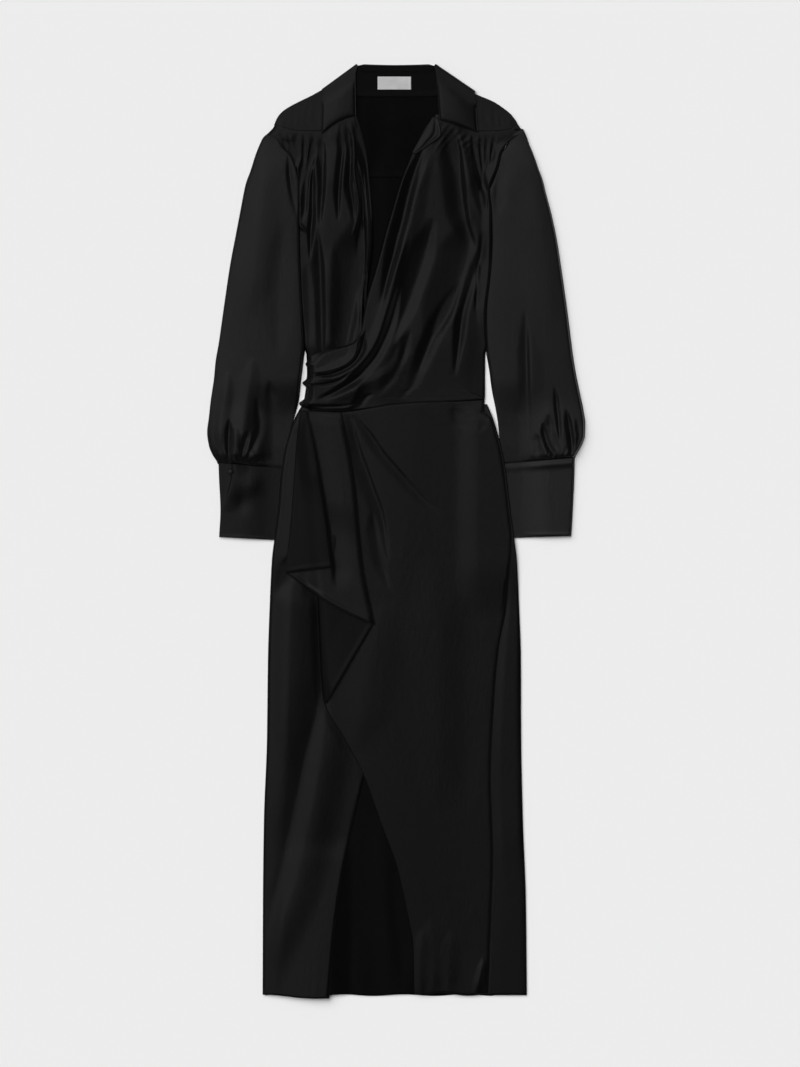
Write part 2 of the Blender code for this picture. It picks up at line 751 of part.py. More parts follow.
def cascade_row(row):
    """Points across the cascade: first fold, underside, second fold, front, third fold, end."""
    start = over_skirt_place(0, row)
    top_y, bottom_y = SKIRT_ROWS[0][1], SKIRT_ROWS[FOLD_ROWS][1]
    t = (top_y - SKIRT_ROWS[row][1]) / (top_y - bottom_y)
    rise = TIGHT_FOLD + (LOOSE_FOLD - TIGHT_FOLD) * eased(t * 1.2)
    second_x, second_y = row_at(SECOND_FOLD, t)
    third_x, third_y = row_at(THIRD_FOLD, t)
    end_x, end_y = row_at(CASCADE_END, t)
    flap = start.z + rise
    lifted = flap + 2.5 * eased((t - 0.6) / 0.4)
    top = lifted + rise

    line = [start]
    for point in turn_over(start.x, start.y, start.z, flap, -1)[1:]:
        line.append(point + Vector((rise / 2, 0, 0)))
    turn = turn_over(second_x, second_y, lifted, top, 1)
    line += [line[-1].lerp(turn[0], k / 3) for k in (1, 2)]
    line += turn

    floor = GROUND + 2 * LAYER + bed(third_x, third_y, 2) + 0.6
    sloping = flap + rise * 0.95
    past_first = 1 - eased((start.x - third_x) / 26)
    under_third = floor + (sloping - floor) * past_first
    inner_x = third_x + rise / 2

    def front_height(x, s):
        """The front of the fold slopes down to its left and hangs past the first fold."""
        past = eased((start.x - x) / 26)
        return (top + (sloping - top) * s) * (1 - past) + under_third * past

    for k in (1, 2, 3, 4):
        s = k / 5
        x = turn[-1].x + (inner_x - turn[-1].x) * s
        y = second_y + (third_y - second_y) * s - 7 * t * math.sin(math.pi * s)
        least = flap + LAYER if x > start.x - 6 else 0
        line.append(Vector((x, y, max(front_height(x, s), least))))
    high = under_third + rise
    line += turn_over(third_x, third_y, under_third, high, -1)
    for k in (1, 2, 3):
        x = inner_x + (end_x - inner_x) * k / 3
        y = third_y + (end_y - third_y) * k / 3
        s = min(max((second_x - x) / max(second_x - third_x, 1), 0), 1)
        line.append(Vector((x, y, max(front_height(x, s) + rise, high))))
    return line


# ---- Neck ----------------------------------------------------------------------------------


def roll_sections(line, low, high, rising):
    """Sections round the collar's fold at the side of the neck, whose edge is the line."""
    inner, outer = [Vector((*point, 0)) for point in line]
    along = (outer - inner).normalized()
    out = Vector((along.y, -along.x, 0))
    if out.y < 0:
        out = -out
    radius = (high - low) / 2
    sections = []
    for step in range(5):
        angle = math.pi * step / 4
        shift = out * radius * (math.sin(angle) - 1)
        shift.z = low + radius * (1 + math.cos(angle))
        sections.append((inner + shift, outer + shift))
    return sections[::-1] if rising else sections


def flat_sections(rows):
    return [(Vector((a, b, z)), Vector((c, d, z))) for a, b, c, d, z in rows]


def make_collar():
    """One strip: left point, round the left side, behind the neck, round the right side, point."""
    high = LEFT_FALL[-1][4]
    sections = flat_sections(LEFT_FALL)
    sections += roll_sections(LEFT_ROLL_LINE, GROUND, high, False)
    sections += flat_sections(COLLAR_BEHIND)
    sections += roll_sections(RIGHT_ROLL_LINE, GROUND, high, True)
    sections += flat_sections(RIGHT_FALL)
    mesh = bmesh.new()
    deep = 4

    def place(column, row):
        inner, outer = sections[column]
        return inner.lerp(outer, row / deep)

    add_sheet(mesh, len(sections) - 1, deep, place)
    finish("collar", mesh, wall=WALL)
    panel("collar_stand", COLLAR_STAND, spaced(NECK_COLUMNS, 120, 0, 0), 3, back_height, colour=CREPE)


def make_label():
    """A small woven label inside the neck, with nothing on it."""
    width, depth, thickness = LABEL
    mesh = bmesh.new()
    bmesh.ops.create_cube(mesh, size=1)
    bmesh.ops.scale(mesh, vec=Vector((width, depth, thickness)), verts=mesh.verts)
    height = GROUND + LAYER + WALL / 2 + SEAM_GAP + thickness / 2
    bmesh.ops.translate(mesh, vec=Vector((-2.5, 671.5, height)), verts=mesh.verts)
    finish("neck_label", mesh, colour=LABEL_WHITE, roughness=0.8)


# ---- Sleeves and cuffs ---------------------------------------------------------------------


def tube(name, sections, rows, upper):
    """A flattened tube: its lower wall lies flat and its upper wall has height upper(x, y, s)."""
    mesh = bmesh.new()
    under, turn, over = 5, 4, 12
    around = under + turn + over + turn

    def place(column, row):
        left_x, left_y, right_x, right_y, _ = row_at(sections, row / rows)

        def top(s):
            return upper(left_x + (right_x - left_x) * s, left_y, s)

        radius = [(top(s) - GROUND) / 2 for s in (0, 1)]
        inset = max(radius)

        def point(s, out, z):
            x = left_x + inset + (right_x - left_x - 2 * inset) * s + out
            return Vector((x, left_y + (right_y - left_y) * s, z))

        if column <= under:
            return point(column / under, 0, GROUND)
        column -= under
        if column <= turn:
            angle = math.pi * column / turn
            return point(1, radius[1] * math.sin(angle), GROUND + radius[1] * (1 - math.cos(angle)))
        column -= turn
        if column <= over:
            s = 1 - column / over
            return point(s, 0, top(s))
        angle = math.pi * (column - over) / turn
        return point(0, -radius[0] * math.sin(angle), GROUND + radius[0] * (1 + math.cos(angle)))

    add_sheet(mesh, around, rows, place)
    bmesh.ops.remove_doubles(mesh, verts=mesh.verts, dist=0.01)
    bmesh.ops.recalc_face_normals(mesh, faces=mesh.faces)
    return finish(name, mesh, wall=WALL)


def clear_of_hip(x, y):
    """0 where the hip covers a sleeve or cuff, 1 clear of it."""
    near_hip = 1 - eased((y - 170) / 60)
    return 1 - near_hip * (1 - eased((abs(x) - 184) / 24))


def sleeve_top(folds):
    def height(x, y, s):
        full = 6.5 * math.sin(math.pi * s) ** 0.8
        near_cuff = 1 + 0.7 * eased((200 - y) / 60) - 1.1 * eased((118 - y) / 16)
        near_shoulder = 1 - 0.6 * eased((y - 540) / 50)
        inside = math.sin(math.pi * s) ** 0.5
        body = full * near_cuff * near_shoulder + relief(folds, x, y) * inside
        body += gathers(6, s, max(y - 100, 0), 110, CUFF_GATHER_HEIGHT) * inside
        return CUFF_TOP + body * clear_of_hip(x, y)

    return height


def cuff_top(x, y, s):
    return CUFF_TOP + 1.6 * math.sin(math.pi * s) * clear_of_hip(x, y)


def make_sleeves():
    tube("sleeve_left", LEFT_SLEEVE, 18, sleeve_top(LEFT_SLEEVE_FOLDS))
    tube("sleeve_right", RIGHT_SLEEVE, 19, sleeve_top(RIGHT_SLEEVE_FOLDS))
    tube("cuff_left", LEFT_CUFF, 4, cuff_top)
    tube("cuff_right", RIGHT_CUFF, 4, cuff_top)


def make_button():
    """A covered button at the left cuff's opening: a low dome on a flat back."""
    mesh = bmesh.new()
    bmesh.ops.create_uvsphere(mesh, u_segments=16, v_segments=10, radius=BUTTON_DIAMETER / 2)
    bmesh.ops.bisect_plane(
        mesh,
        geom=mesh.verts[:] + mesh.edges[:] + mesh.faces[:],
        dist=0.001,
        plane_co=Vector((0, 0, -0.6)),
        plane_no=Vector((0, 0, -1)),
        clear_outer=True,
    )
    rim = [edge for edge in mesh.edges if edge.is_boundary]
    bmesh.ops.contextual_create(mesh, geom=rim)
    bmesh.ops.scale(mesh, vec=Vector((1, 1, 0.62)), verts=mesh.verts)
    place = Vector((-247.5, 88.5, CUFF_TOP + WALL / 2 + 1.9))
    bmesh.ops.translate(mesh, vec=place, verts=mesh.verts)
    bmesh.ops.recalc_face_normals(mesh, faces=mesh.faces)
    finish("cuff_button", mesh)


clear_scene()
make_back()
make_fronts()
make_under_skirt()
make_over_skirt()
make_collar()
make_label()
make_sleeves()
make_button()
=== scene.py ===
# %% [markdown]
# # A satin wrap dress, laid flat
# The dress lies on its back on a pale floor, and one front is wrapped over the other. The packed
# solids already have its true size. This lesson puts fine cloth on each of them: a thin shell on
# the same form, with the creases, gathers, hems and seams that a maker would see up close.

import math

import bmesh
import bpy
import numpy as np
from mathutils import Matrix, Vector


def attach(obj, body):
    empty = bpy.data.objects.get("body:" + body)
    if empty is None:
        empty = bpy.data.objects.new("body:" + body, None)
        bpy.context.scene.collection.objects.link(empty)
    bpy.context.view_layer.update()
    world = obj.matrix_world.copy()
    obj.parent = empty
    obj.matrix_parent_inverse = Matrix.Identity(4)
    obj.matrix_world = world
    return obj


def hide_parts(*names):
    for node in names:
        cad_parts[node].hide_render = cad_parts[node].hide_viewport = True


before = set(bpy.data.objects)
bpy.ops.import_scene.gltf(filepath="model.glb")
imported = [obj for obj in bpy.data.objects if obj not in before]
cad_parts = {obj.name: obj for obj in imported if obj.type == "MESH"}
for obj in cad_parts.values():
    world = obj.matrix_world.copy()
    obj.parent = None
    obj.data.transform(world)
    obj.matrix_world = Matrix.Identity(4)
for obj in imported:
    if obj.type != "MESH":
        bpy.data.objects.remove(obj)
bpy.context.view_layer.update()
print("nodes:", sorted(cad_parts))

# %% [markdown]
# ## The cloth's levels
# Every panel lies on the one below it, so each has a level: its middle height above the floor. The
# collar behind the neck and the cuffs under the hips lift what lies on them, as a bed lifts a
# sheet. All tables here are in millimetres, with X across the dress and Y up towards the collar.

# %% Sizes that the whole dress shares
MM = 0.001
MERGE = 0.01 * MM  # points closer together than this become one
CLOTH = 0.75  # the satin, doubled where it is hemmed or faced
GROUND = 0.6  # middle of the cloth that lies on the floor
LAYER = 1.7  # from one panel's middle to the next
SEAM_GAP = 0.3  # between two pieces that are sewn together on a real dress
WAIST = 190.5  # height of the back's waist seam
COLLAR_FALL_Y = 628  # lowest point of the collar behind the neck
COLLAR_REACH = 112  # half the width over which it lifts the cloth
CUFF_INNER = 155  # from the middle of the dress to a cuff's end under the hip
CUFF_LIFT = 2.8  # how far a cuff lifts the hip
HIP_TOP, HIP_BOTTOM = 191, -108  # between these heights the hips lie on the cuffs
COLLAR_CLIMB, CUFF_CLIMB = 66, 38  # lengths over which cloth climbs onto the collar and onto a cuff
print("levels of the first three layers:", [round(GROUND + LAYER * k, 1) for k in range(3)], "mm")


# %% Smooth curves through tables, and the bed that the lower pieces make
def eased(t):
    """0 to 1 with no corner at either end."""
    t = np.clip(t, 0.0, 1.0)
    return t * t * (3 - 2 * t)


def smooth_line(knots, values, at):
    """A smooth curve through the values at rising knots, which never overshoots them."""
    knots, values = np.asarray(knots, float), np.asarray(values, float)
    at = np.clip(at, knots[0], knots[-1])
    step = np.diff(values) / np.diff(knots)
    before, after = np.r_[step[:1], step], np.r_[step, step[-1:]]
    same_way = before * after > 0
    slope = np.where(same_way, 2 * before * after / np.where(same_way, before + after, 1), 0)
    i = np.clip(np.searchsorted(knots, at, side="right") - 1, 0, len(knots) - 2)
    width = knots[i + 1] - knots[i]
    t = (at - knots[i]) / width
    bend = t * (1 - t) ** 2 * slope[i] + t * t * (t - 1) * slope[i + 1]
    return values[i] + (values[i + 1] - values[i]) * eased(t) + width * bend


def row_at(rows, t):
    """Each column of the table at t, from 0 at its first row to 1 at its last."""
    knots = range(len(rows))
    return [smooth_line(knots, column, t * (len(rows) - 1)) for column in zip(*rows)]


def at_height(rows, y):
    """The other columns of a table whose first column is y, from the top down."""
    columns = list(zip(*rows))
    knots = [-value for value in columns[0]]
    return [smooth_line(knots, column, -y) for column in columns[1:]]


def along_seam(seam, x):
    """Height y of a seam whose table is x, y."""
    columns = list(zip(*seam))
    return smooth_line(columns[0], columns[1], x)


def bed(x, y, above=0):
    """How far the collar and the cuffs lift cloth that lies some panels above the floor's one."""
    up = y - COLLAR_FALL_Y + COLLAR_CLIMB + 2 + 6 * above
    over_collar = LAYER * eased(up / COLLAR_CLIMB) * eased((COLLAR_REACH - abs(x)) / 28)
    inward = eased((abs(x) - CUFF_INNER + CUFF_CLIMB + 8 + 11 * above) / CUFF_CLIMB)
    along = eased((y - HIP_BOTTOM + 13 * above) / 90) * eased((HIP_TOP + 3 * above - y) / 34)
    return over_collar + CUFF_LIFT * inward * along


print("bed at the back of the neck:", round(float(bed(0, 690)), 2), "mm")


# %% [markdown]
# ## Creases drawn one by one
# Satin keeps soft creases, and each one is different. A crease here is a line of points with a
# width on either side and a height: a ridge above zero, a trough below it. A narrow width on one
# side makes a lap, with light on its slope and a shadow under its lip. Drawing them one by one
# costs more typing than a noise would, but noise never runs towards a seam as real creases do.


# %% Draw a smooth line, and measure how far each place is from it
def drawn_line(points, steps=5):
    """The points of a smooth line through the drawn ones."""
    points = np.asarray(points, float)
    if len(points) == 2:
        return points
    ends = np.vstack((2 * points[0] - points[1], points, 2 * points[-1] - points[-2]))
    line = []
    for a, b, c, d in zip(ends[:-3], ends[1:-2], ends[2:-1], ends[3:]):
        for t in np.arange(steps) / steps:
            bend = (2 * a - 5 * b + 4 * c - d) * t * t + (3 * b - a - 3 * c + d) * t**3
            line.append(0.5 * (2 * b + (c - a) * t + bend))
    return np.array(line + [points[-1]])


def from_line(line, x, y):
    """Signed distance from a line, and how far along it, 0 to 1. Lines run down: right is above 0."""
    best = np.full(x.shape, 1e9)
    signed, along = np.zeros(x.shape), np.zeros(x.shape)
    lengths = np.hypot(*np.diff(line, axis=0).T)
    total, done = lengths.sum(), 0.0
    for (x0, y0), (x1, y1), length in zip(line[:-1], line[1:], lengths):
        dx, dy = x1 - x0, y1 - y0
        t = np.clip(((x - x0) * dx + (y - y0) * dy) / length**2, 0, 1)
        gap = np.hypot(x - x0 - t * dx, y - y0 - t * dy)
        near = gap < best
        side = np.sign((y - y0) * dx - (x - x0) * dy)
        best = np.where(near, gap, best)
        signed = np.where(near, gap * side, signed)
        along = np.where(near, (done + t * length) / total, along)
        done += length
    return signed, along


# %% Raise or sink the cloth along its creases
FLANK_END = 1.6  # in widths from its line, where a crease's slope ends
TOP_ROUNDING, FOOT_ROUNDING = 0.10, 0.04  # squared widths over which its top and its foot are soft
TOP_SHIFT = 0.316  # root of the top's rounding, which brings the top back to 1
CREASE_REACH = 4  # in widths from its line, beyond which a crease isn't worked out
FADE_IN, FADE_OUT = 0.3, 0.34  # shares of a crease's length over which it grows and dies away
END_WIDTH = 0.45  # of a crease at its two ends, as a share of its width in the middle


def flank(t):
    """Section of a crease at t widths from its line: 1 there, then an even slope to its foot."""
    slope = 1 - (np.sqrt(t * t + TOP_ROUNDING) - TOP_SHIFT) / FLANK_END
    return 0.5 * (slope + np.sqrt(slope * slope + FOOT_ROUNDING))


def creased(creases, x, y):
    """Height of the drawn creases at each place. A crease fades in at its start and out at its end."""
    height = np.zeros(x.shape)
    for points, left, right, rise in creases:
        line = drawn_line(points)
        reach = CREASE_REACH * max(left, right)
        low, high = line.min(0) - reach, line.max(0) + reach
        near = (x > low[0]) & (x < high[0]) & (y > low[1]) & (y < high[1])
        if not near.any():
            continue
        signed, along = from_line(line, x[near], y[near])
        ends = eased(along / FADE_IN) * eased((1 - along) / FADE_OUT)
        width = np.where(signed > 0, right, left) * (END_WIDTH + (1 - END_WIDTH) * ends)
        height[near] += rise * np.sqrt(ends) * flank(signed / width)
    return height


def above_floor(height, softness=0.8):
    """Keeps a height above zero with a soft bottom, so that a trough rests on the layer below."""
    return 0.5 * (height + np.sqrt(height * height + softness * softness))


def soft_bump(value, middle, width):
    """1 at the middle, and almost nothing two widths away from it."""
    return np.exp(-(((value - middle) / width) ** 2))


print("a crease at 0, 1 and 2 widths:", flank(np.arange(3.0)).round(2))


# %% [markdown]
# ## Two sides of one cloth
# Satin is glossy on its right side and dull on its reverse. The dress shows both: the reverse of
# the back panels inside the neck and the slit, and where the cascade turns over. So every shell
# gets two materials, one for each face. The colour is nearly black, so its look is all in how it
# shines: a broad soft gloss, broken by the tiny ripples of the weave.


# %% How a cloth material is made
def number_node(nodes, kind, label, **values):
    """A node whose numbers are given by the names of its sockets."""
    node = nodes.new(kind)
    node.label = label
    for name, value in values.items():
        node.inputs[name.replace("_", " ")].default_value = value
    return node


def cloth_material(name, colour, roughness, gloss, ripple, sheen=0.0):
    """Woven cloth whose colour and shine drift a little and whose surface ripples finely."""
    material = bpy.data.materials.new(name)
    material.use_nodes = True
    nodes, links = material.node_tree.nodes, material.node_tree.links
    shader = nodes["Principled BSDF"]
    shader.inputs["Specular IOR Level"].default_value = gloss
    shader.inputs["Sheen Weight"].default_value = sheen
    shader.inputs["Sheen Roughness"].default_value = 0.5
    flat = nodes.new("ShaderNodeUVMap")
    flat.uv_map = "cut"

    drift = number_node(nodes, "ShaderNodeTexNoise", "Drift", Scale=22.0, Detail=3.0)
    tint = nodes.new("ShaderNodeValToRGB")
    for element, position, share in zip(tint.color_ramp.elements, (0.3, 0.72), (0.82, 1.2)):
        element.position = position
        element.color = (*(share * c for c in colour), 1)
    least, most = roughness - 0.04, roughness + 0.05
    shine = number_node(nodes, "ShaderNodeMapRange", "Shine", To_Min=least, To_Max=most)

    stretch = number_node(nodes, "ShaderNodeMapping", "Longer down the cloth", Scale=(1.0, 0.55, 1.0))
    soft = number_node(nodes, "ShaderNodeTexNoise", "Ripple", Scale=130.0, Detail=4.0, Roughness=0.55)
    weave = number_node(nodes, "ShaderNodeTexWave", "Weave", Scale=520.0, Distortion=0.4)
    weave.bands_direction = "DIAGONAL"
    ripples = number_node(nodes, "ShaderNodeBump", "Ripples", Strength=ripple, Distance=0.0006)
    threads = number_node(nodes, "ShaderNodeBump", "Threads", Strength=0.12, Distance=0.0001)

    for giver, output, taker, socket in (
        (flat, "UV", drift, "Vector"),
        (flat, "UV", stretch, "Vector"),
        (stretch, "Vector", soft, "Vector"),
        (flat, "UV", weave, "Vector"),
        (drift, "Fac", tint, "Fac"),
        (tint, "Color", shader, "Base Color"),
        (drift, "Fac", shine, "Value"),
        (shine, "Result", shader, "Roughness"),
        (soft, "Fac", ripples, "Height"),
        (weave, "Fac", threads, "Height"),
        (ripples, "Normal", threads, "Normal"),
        (threads, "Normal", shader, "Normal"),
    ):
        links.new(giver.outputs[output], taker.inputs[socket])
    material.diffuse_color = (*colour, 1)
    return material


def near_black(level):
    """The colour of the dye, with a trace of blue."""
    return (level, level, level + 0.0001)


# %% Make the cloth's materials
SATIN = cloth_material("satin_face", near_black(0.0008), roughness=0.38, gloss=0.325, ripple=0.30)
# The same satin with more gloss and a lighter colour, so that it throws back more light: painted
# highlight. The first is for the sleeves, the collar and the neck facing, the second for the right
# cuff and the button.
SATIN_PAINTED_LIGHT = cloth_material("satin_face_painted_highlight", near_black(0.0010), roughness=0.42, gloss=0.43, ripple=0.30)
CUFF_SATIN_PAINTED_LIGHT = cloth_material("satin_face_cuffs", near_black(0.0011), roughness=0.44, gloss=0.58, ripple=0.26)
REVERSE = cloth_material("satin_reverse_face", near_black(0.0012), roughness=0.50, gloss=0.23, ripple=0.22)
# Its reverse deep inside the dress, in the slit and in the neck, duller and darker: painted shade
REVERSE_PAINTED_SHADE = cloth_material("satin_inside_painted_shade", near_black(0.0010), roughness=0.50, gloss=0.13, ripple=0.22)
NECK_REVERSE_PAINTED_SHADE = cloth_material(
    "satin_neck_inside_painted_shade", near_black(0.0008), roughness=0.52, gloss=0.10, ripple=0.18
)
LABEL_GREY = (0.50, 0.50, 0.50)
LABEL = cloth_material("label_weave", LABEL_GREY, roughness=0.75, gloss=0.25, ripple=0.3, sheen=0.1)
FACE_UP = (SATIN, REVERSE)  # right side on the mesh's own face, reverse on its back
FACE_UP_PAINTED_LIGHT = (SATIN_PAINTED_LIGHT, REVERSE)
# the reverse, with painted shade, on the mesh's own face; the right side on its back
FACE_DOWN = (REVERSE_PAINTED_SHADE, SATIN)
cloths = (SATIN, SATIN_PAINTED_LIGHT, CUFF_SATIN_PAINTED_LIGHT, REVERSE, REVERSE_PAINTED_SHADE, NECK_REVERSE_PAINTED_SHADE, LABEL)
print("materials:", [material.name for material in cloths])

# %% [markdown]
# ## One way to lay every panel
# A cloth panel starts as a flat grid, as it would be cut. Then each corner of the grid is moved to
# its place on the dress, and Solidify gives the sheet its thickness. The grid's own rows and
# columns are kept as a UV map in metres, so the weave follows the cut and not the room.


# %% Move a flat grid to its place on the dress
def spread(*parts):
    """Places from 0 to 1 for a grid: parts are (end, count), each spaced evenly."""
    places = [0.0]
    for end, count in parts:
        places += list(np.linspace(places[-1], end, count + 1)[1:])
    return np.array(places)


def add_sheet(mesh, across, down, place, flat):
    """Adds a grid and moves its corner (u, v) to place(u, v). flat is its cut width and length."""
    columns, rows = len(across) - 1, len(down) - 1
    layers = mesh.verts.layers.float_vector
    cut = layers.get("cut_place") or layers.new("cut_place")
    made = bmesh.ops.create_grid(mesh, x_segments=columns, y_segments=rows, size=0.5)
    verts = made["verts"]
    column = np.array([round((vert.co.x + 0.5) * columns) for vert in verts])
    row = np.array([round((0.5 - vert.co.y) * rows) for vert in verts])
    u, v = across[column], down[row]
    spots = np.stack([np.broadcast_to(value, u.shape) for value in place(u, v)], 1) * MM
    cuts = np.stack((u * flat[0], v * flat[1], 0 * u), 1) * MM
    for vert, spot, where in zip(verts, spots, cuts):
        vert.co = spot
        vert[cut] = where


# %% Make a laid sheet into a finished piece
def lay(name, mesh, faces=FACE_UP, wall=CLOTH):
    """Makes a laid sheet's object with its wall and two faces, and hides the CAD node that it dresses."""
    data = bpy.data.meshes.new(name)
    mesh.to_mesh(data)
    mesh.free()
    data.shade_smooth()
    cut = np.empty(len(data.vertices) * 3)
    data.attributes["cut_place"].data.foreach_get("vector", cut)
    corner = np.empty(len(data.loops), int)
    data.loops.foreach_get("vertex_index", corner)
    uv = data.uv_layers.new(name="cut")
    uv.data.foreach_set("uv", cut.reshape(-1, 3)[corner, :2].ravel())
    data.attributes.remove(data.attributes["cut_place"])
    obj = bpy.data.objects.new(name, data)
    bpy.context.scene.collection.objects.link(obj)
    for material in faces:
        obj.data.materials.append(material)
    if wall:
        cloth = obj.modifiers.new("Cloth", "SOLIDIFY")
        cloth.thickness = wall * MM
        cloth.offset = 0
        cloth.material_offset = 1
    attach(obj, "root")
    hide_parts(name.removesuffix("_cloth"))
    area = sum(face.area for face in data.polygons)
    print(f"{name}: {len(data.polygons)} faces, {area * 1e4:.0f} square centimetres")
    return obj


# %% Places on a panel that is drawn as a table of rows
TOP_PULL = 0.3  # share of a panel's length over which its top row is drawn to a seam


def on_row(row, u):
    """Place at u, 0 to 1, on a row of left x, left y, right x, right y and, where it sags, its dip."""
    left_x, left_y, right_x, right_y, dip = (*row, 0)[:5]
    sag = dip * (1 - (2 * u - 1) ** 12)
    return left_x + (right_x - left_x) * u, left_y + (right_y - left_y) * u - sag


def section_place(sections, u, v, top=None, bottom=None):
    """Place of (u, v) on a table of rows, and its row's width. Its ends are drawn to seams, if given."""
    row = row_at(sections, v)
    x, y = on_row(row, u)
    for seam, end, share in ((top, sections[0], 1 - v / TOP_PULL), (bottom, sections[-1], v)):
        if seam is not None:
            end_x, end_y = on_row(end, u)
            y = y + (seam(end_x) - end_y) * np.maximum(share, 0)
    return x, y, row[2] - row[0]


def uneven(t, count, start=0.0):
    """A wave of about count ridges over t, no two of them alike. 0 in its troughs and up to 1."""
    phase = count * t + 0.34 * np.sin(5.1 * t + start) + 0.2 * np.sin(13.7 * t + 2 * start)
    tall = 0.72 + 0.28 * np.sin(9.3 * t + 3 * start)
    return tall * np.sin(math.pi * phase) ** 2


print("five uneven ridges:", uneven(np.linspace(0, 1, 6), 5).round(2))


# %% [markdown]
# ## The back
# The back is three pieces: a yoke across the shoulders, a bodice and a skirt. They lie face down
# on the floor, so from above only their reverse shows, with painted shade inside the neck and the
# slit. The skirt's right side turns up and comes round to the front, where a seam joins it to the wrap.

# %% Rows of the back bodice and the back yoke: left x, left y, right x, right y, dip
BACK_BODICE = (
    (-139, 531.8, 139.5, 531.8),
    (-138, 508, 132, 508),
    (-139, 478.5, 135, 478.5),
    (-137.5, 399, 134, 399),
    (-133.5, 327, 127, 327),
    (-130.5, 271.5, 129, 271.5),
    (-129.5, 234, 129, 234),
    (-133.5, WAIST + SEAM_GAP, 128.5, WAIST + SEAM_GAP),
)
BACK_YOKE = (
    (-76.5, 675.7, 76.5, 675.7, 24),
    (-105, 655, 108, 655, 16),
    (-144, 636, 142, 636, 8),
    (-170, 613, 169, 613, 3),
    (-185, 593.5, 178, 597, 0),
    (-172, 584, 156, 581, 0),
    (-160, 573, 149, 566, 0),
    (-148, 556, 145, 548, 0),
    (-139.3, 532.6, 139.8, 532.6, 0),
)
print("rows of the back:", len(BACK_BODICE), "and", len(BACK_YOKE))

# %% Outline of the skirt: y, left x, right x
SKIRT_SIDES = (
    (192, -139, 136),
    (169.5, -151.5, 145.5),
    (145.5, -160, 153),
    (114, -168, 161),
    (78, -173, 166.5),
    (39, -176, 171),
    (-13.5, -182.5, 178),
    (-43.5, -186, 181.5),
    (-103.5, -189, 184.5),
    (-193.5, -192, 187.5),
    (-313.5, -193.5, 188),
    (-433.5, -198, 190.5),
    (-553.5, -199.5, 195),
    (-696, -200, 196.5),
)
print("skirt:", SKIRT_SIDES[0][0] - SKIRT_SIDES[-1][0], "mm long")

# %% Rows of the skirt: height at the right side, and at the left edge of the over-skirt
SKIRT_ROWS = (
    (190.2, 180.2),
    (180, 168),
    (168, 154),
    (155, 138),
    (130, 112),
    (98, 76),
    (62, 30),
    (26, -20),
    (-6, -68),
    (-24, -112),
    (-42, -160),
    (-60, -210),
    (-105, -258),
    (-160, -310),
    (-215, -366),
    (-270, -405),
    (-320, -440),
    (-366, -475),
    (-410, -505.5),
    (-455, -540),
    (-500, -567.5),
    (-540, -596),
    (-575, -626),
    (-610, -648),
    (-640, -665),
    (-668, -680),
    (-696, -693),
)
print("rows of the skirt:", len(SKIRT_ROWS))

# %% Side seam that the back comes round to: y, x
SIDE_SEAM = (
    (201, 132.5),
    (180, 132.5),
    (168, 142.5),
    (145.5, 149.5),
    (114, 157.5),
    (78, 163),
    (39, 167.5),
    (-13.5, 173),
    (-66, 169.5),
    (-121.5, 163.5),
    (-178.5, 152.5),
    (-250.5, 146),
    (-371.5, 140.5),
    (-488.5, 144),
    (-592, 140.5),
    (-696, 136),
)
# Free edge of the under-front, beside which the slit shows the back: y, x
UNDER_SKIRT_EDGE = (
    (192, 28.5),
    (78, 18),
    (-13.5, 9),
    (-103.5, -4.5),
    (-193.5, -19.5),
    (-313.5, -40),
    (-366, -48.5),
    (-468, -71.5),
    (-591, -90.5),
    (-702, -100.5),
)
print("side seam from", SIDE_SEAM[0], "to", SIDE_SEAM[-1])

# %% Creases of the back: points x, y down the crease, width on its left, on its right, height
BACK_CREASES = (
    (((-70, 690), (-68, 600), (-56, 500), (-44, 390)), 8, 15, 2.2),
    (((-20, 560), (-14, 480), (-18, 380)), 12, 14, 1.1),
    (((26, 540), (22, 470), (8, 400)), 10, 12, -0.5),
    (((-48, 650), (-40, 600), (-44, 545)), 7, 10, 0.8),
    (((0, 640), (6, 600), (2, 545)), 14, 14, 0.7),
)
BACK_SKIRT_CREASES = (
    (((-24, -420), (-18, -540), (-10, -690)), 12, 14, 1.2),
    (((6, -470), (4, -580), (12, -690)), 8, 10, -1.0),
)
print("creases of the back:", len(BACK_CREASES) + len(BACK_SKIRT_CREASES))

# %% Lay the back bodice and the back yoke
BACK_LAP_RISE = 0.7  # of a back piece's lower edge, where it laps over the next one


def back_place(sections, lap_length):
    """Places on a back piece whose lower edge laps over the next one by lap_length."""

    def place(u, v):
        x, y, _ = section_place(sections, u, v)
        lap = eased((v - 0.96) / 0.04)
        z = GROUND + bed(x, y) + above_floor(creased(BACK_CREASES, x, y), softness=0.1)
        return x, y - lap_length * lap, z + BACK_LAP_RISE * lap

    return place


# The back bodice and yoke show their reverse with the neck's painted shade, the darkest one
mesh = bmesh.new()
add_sheet(mesh, spread((1, 80)), spread((0.97, 84), (1, 6)), back_place(BACK_BODICE, 1.5), (272, 342))
back_bodice = lay("back_bodice_cloth", mesh, (NECK_REVERSE_PAINTED_SHADE, SATIN))
mesh = bmesh.new()
add_sheet(mesh, spread((1, 90)), spread((0.94, 46), (1, 8)), back_place(BACK_YOKE, 2.4), (330, 150))
back_yoke = lay("back_yoke_cloth", mesh, (NECK_REVERSE_PAINTED_SHADE, SATIN))


# %% The back's fold in the slit
SLIT_FOLD_X = -68  # where the fold starts to rise
SLIT_FOLD_SLOPE = 0.18
SLIT_FOLD_TOP = -455  # above this height the back lies flat
SLIT_FOLD_FALL = 130  # length over which it falls again, under the under-front


def under_skirt_edge(y):
    return at_height(UNDER_SKIRT_EDGE, y)[0]


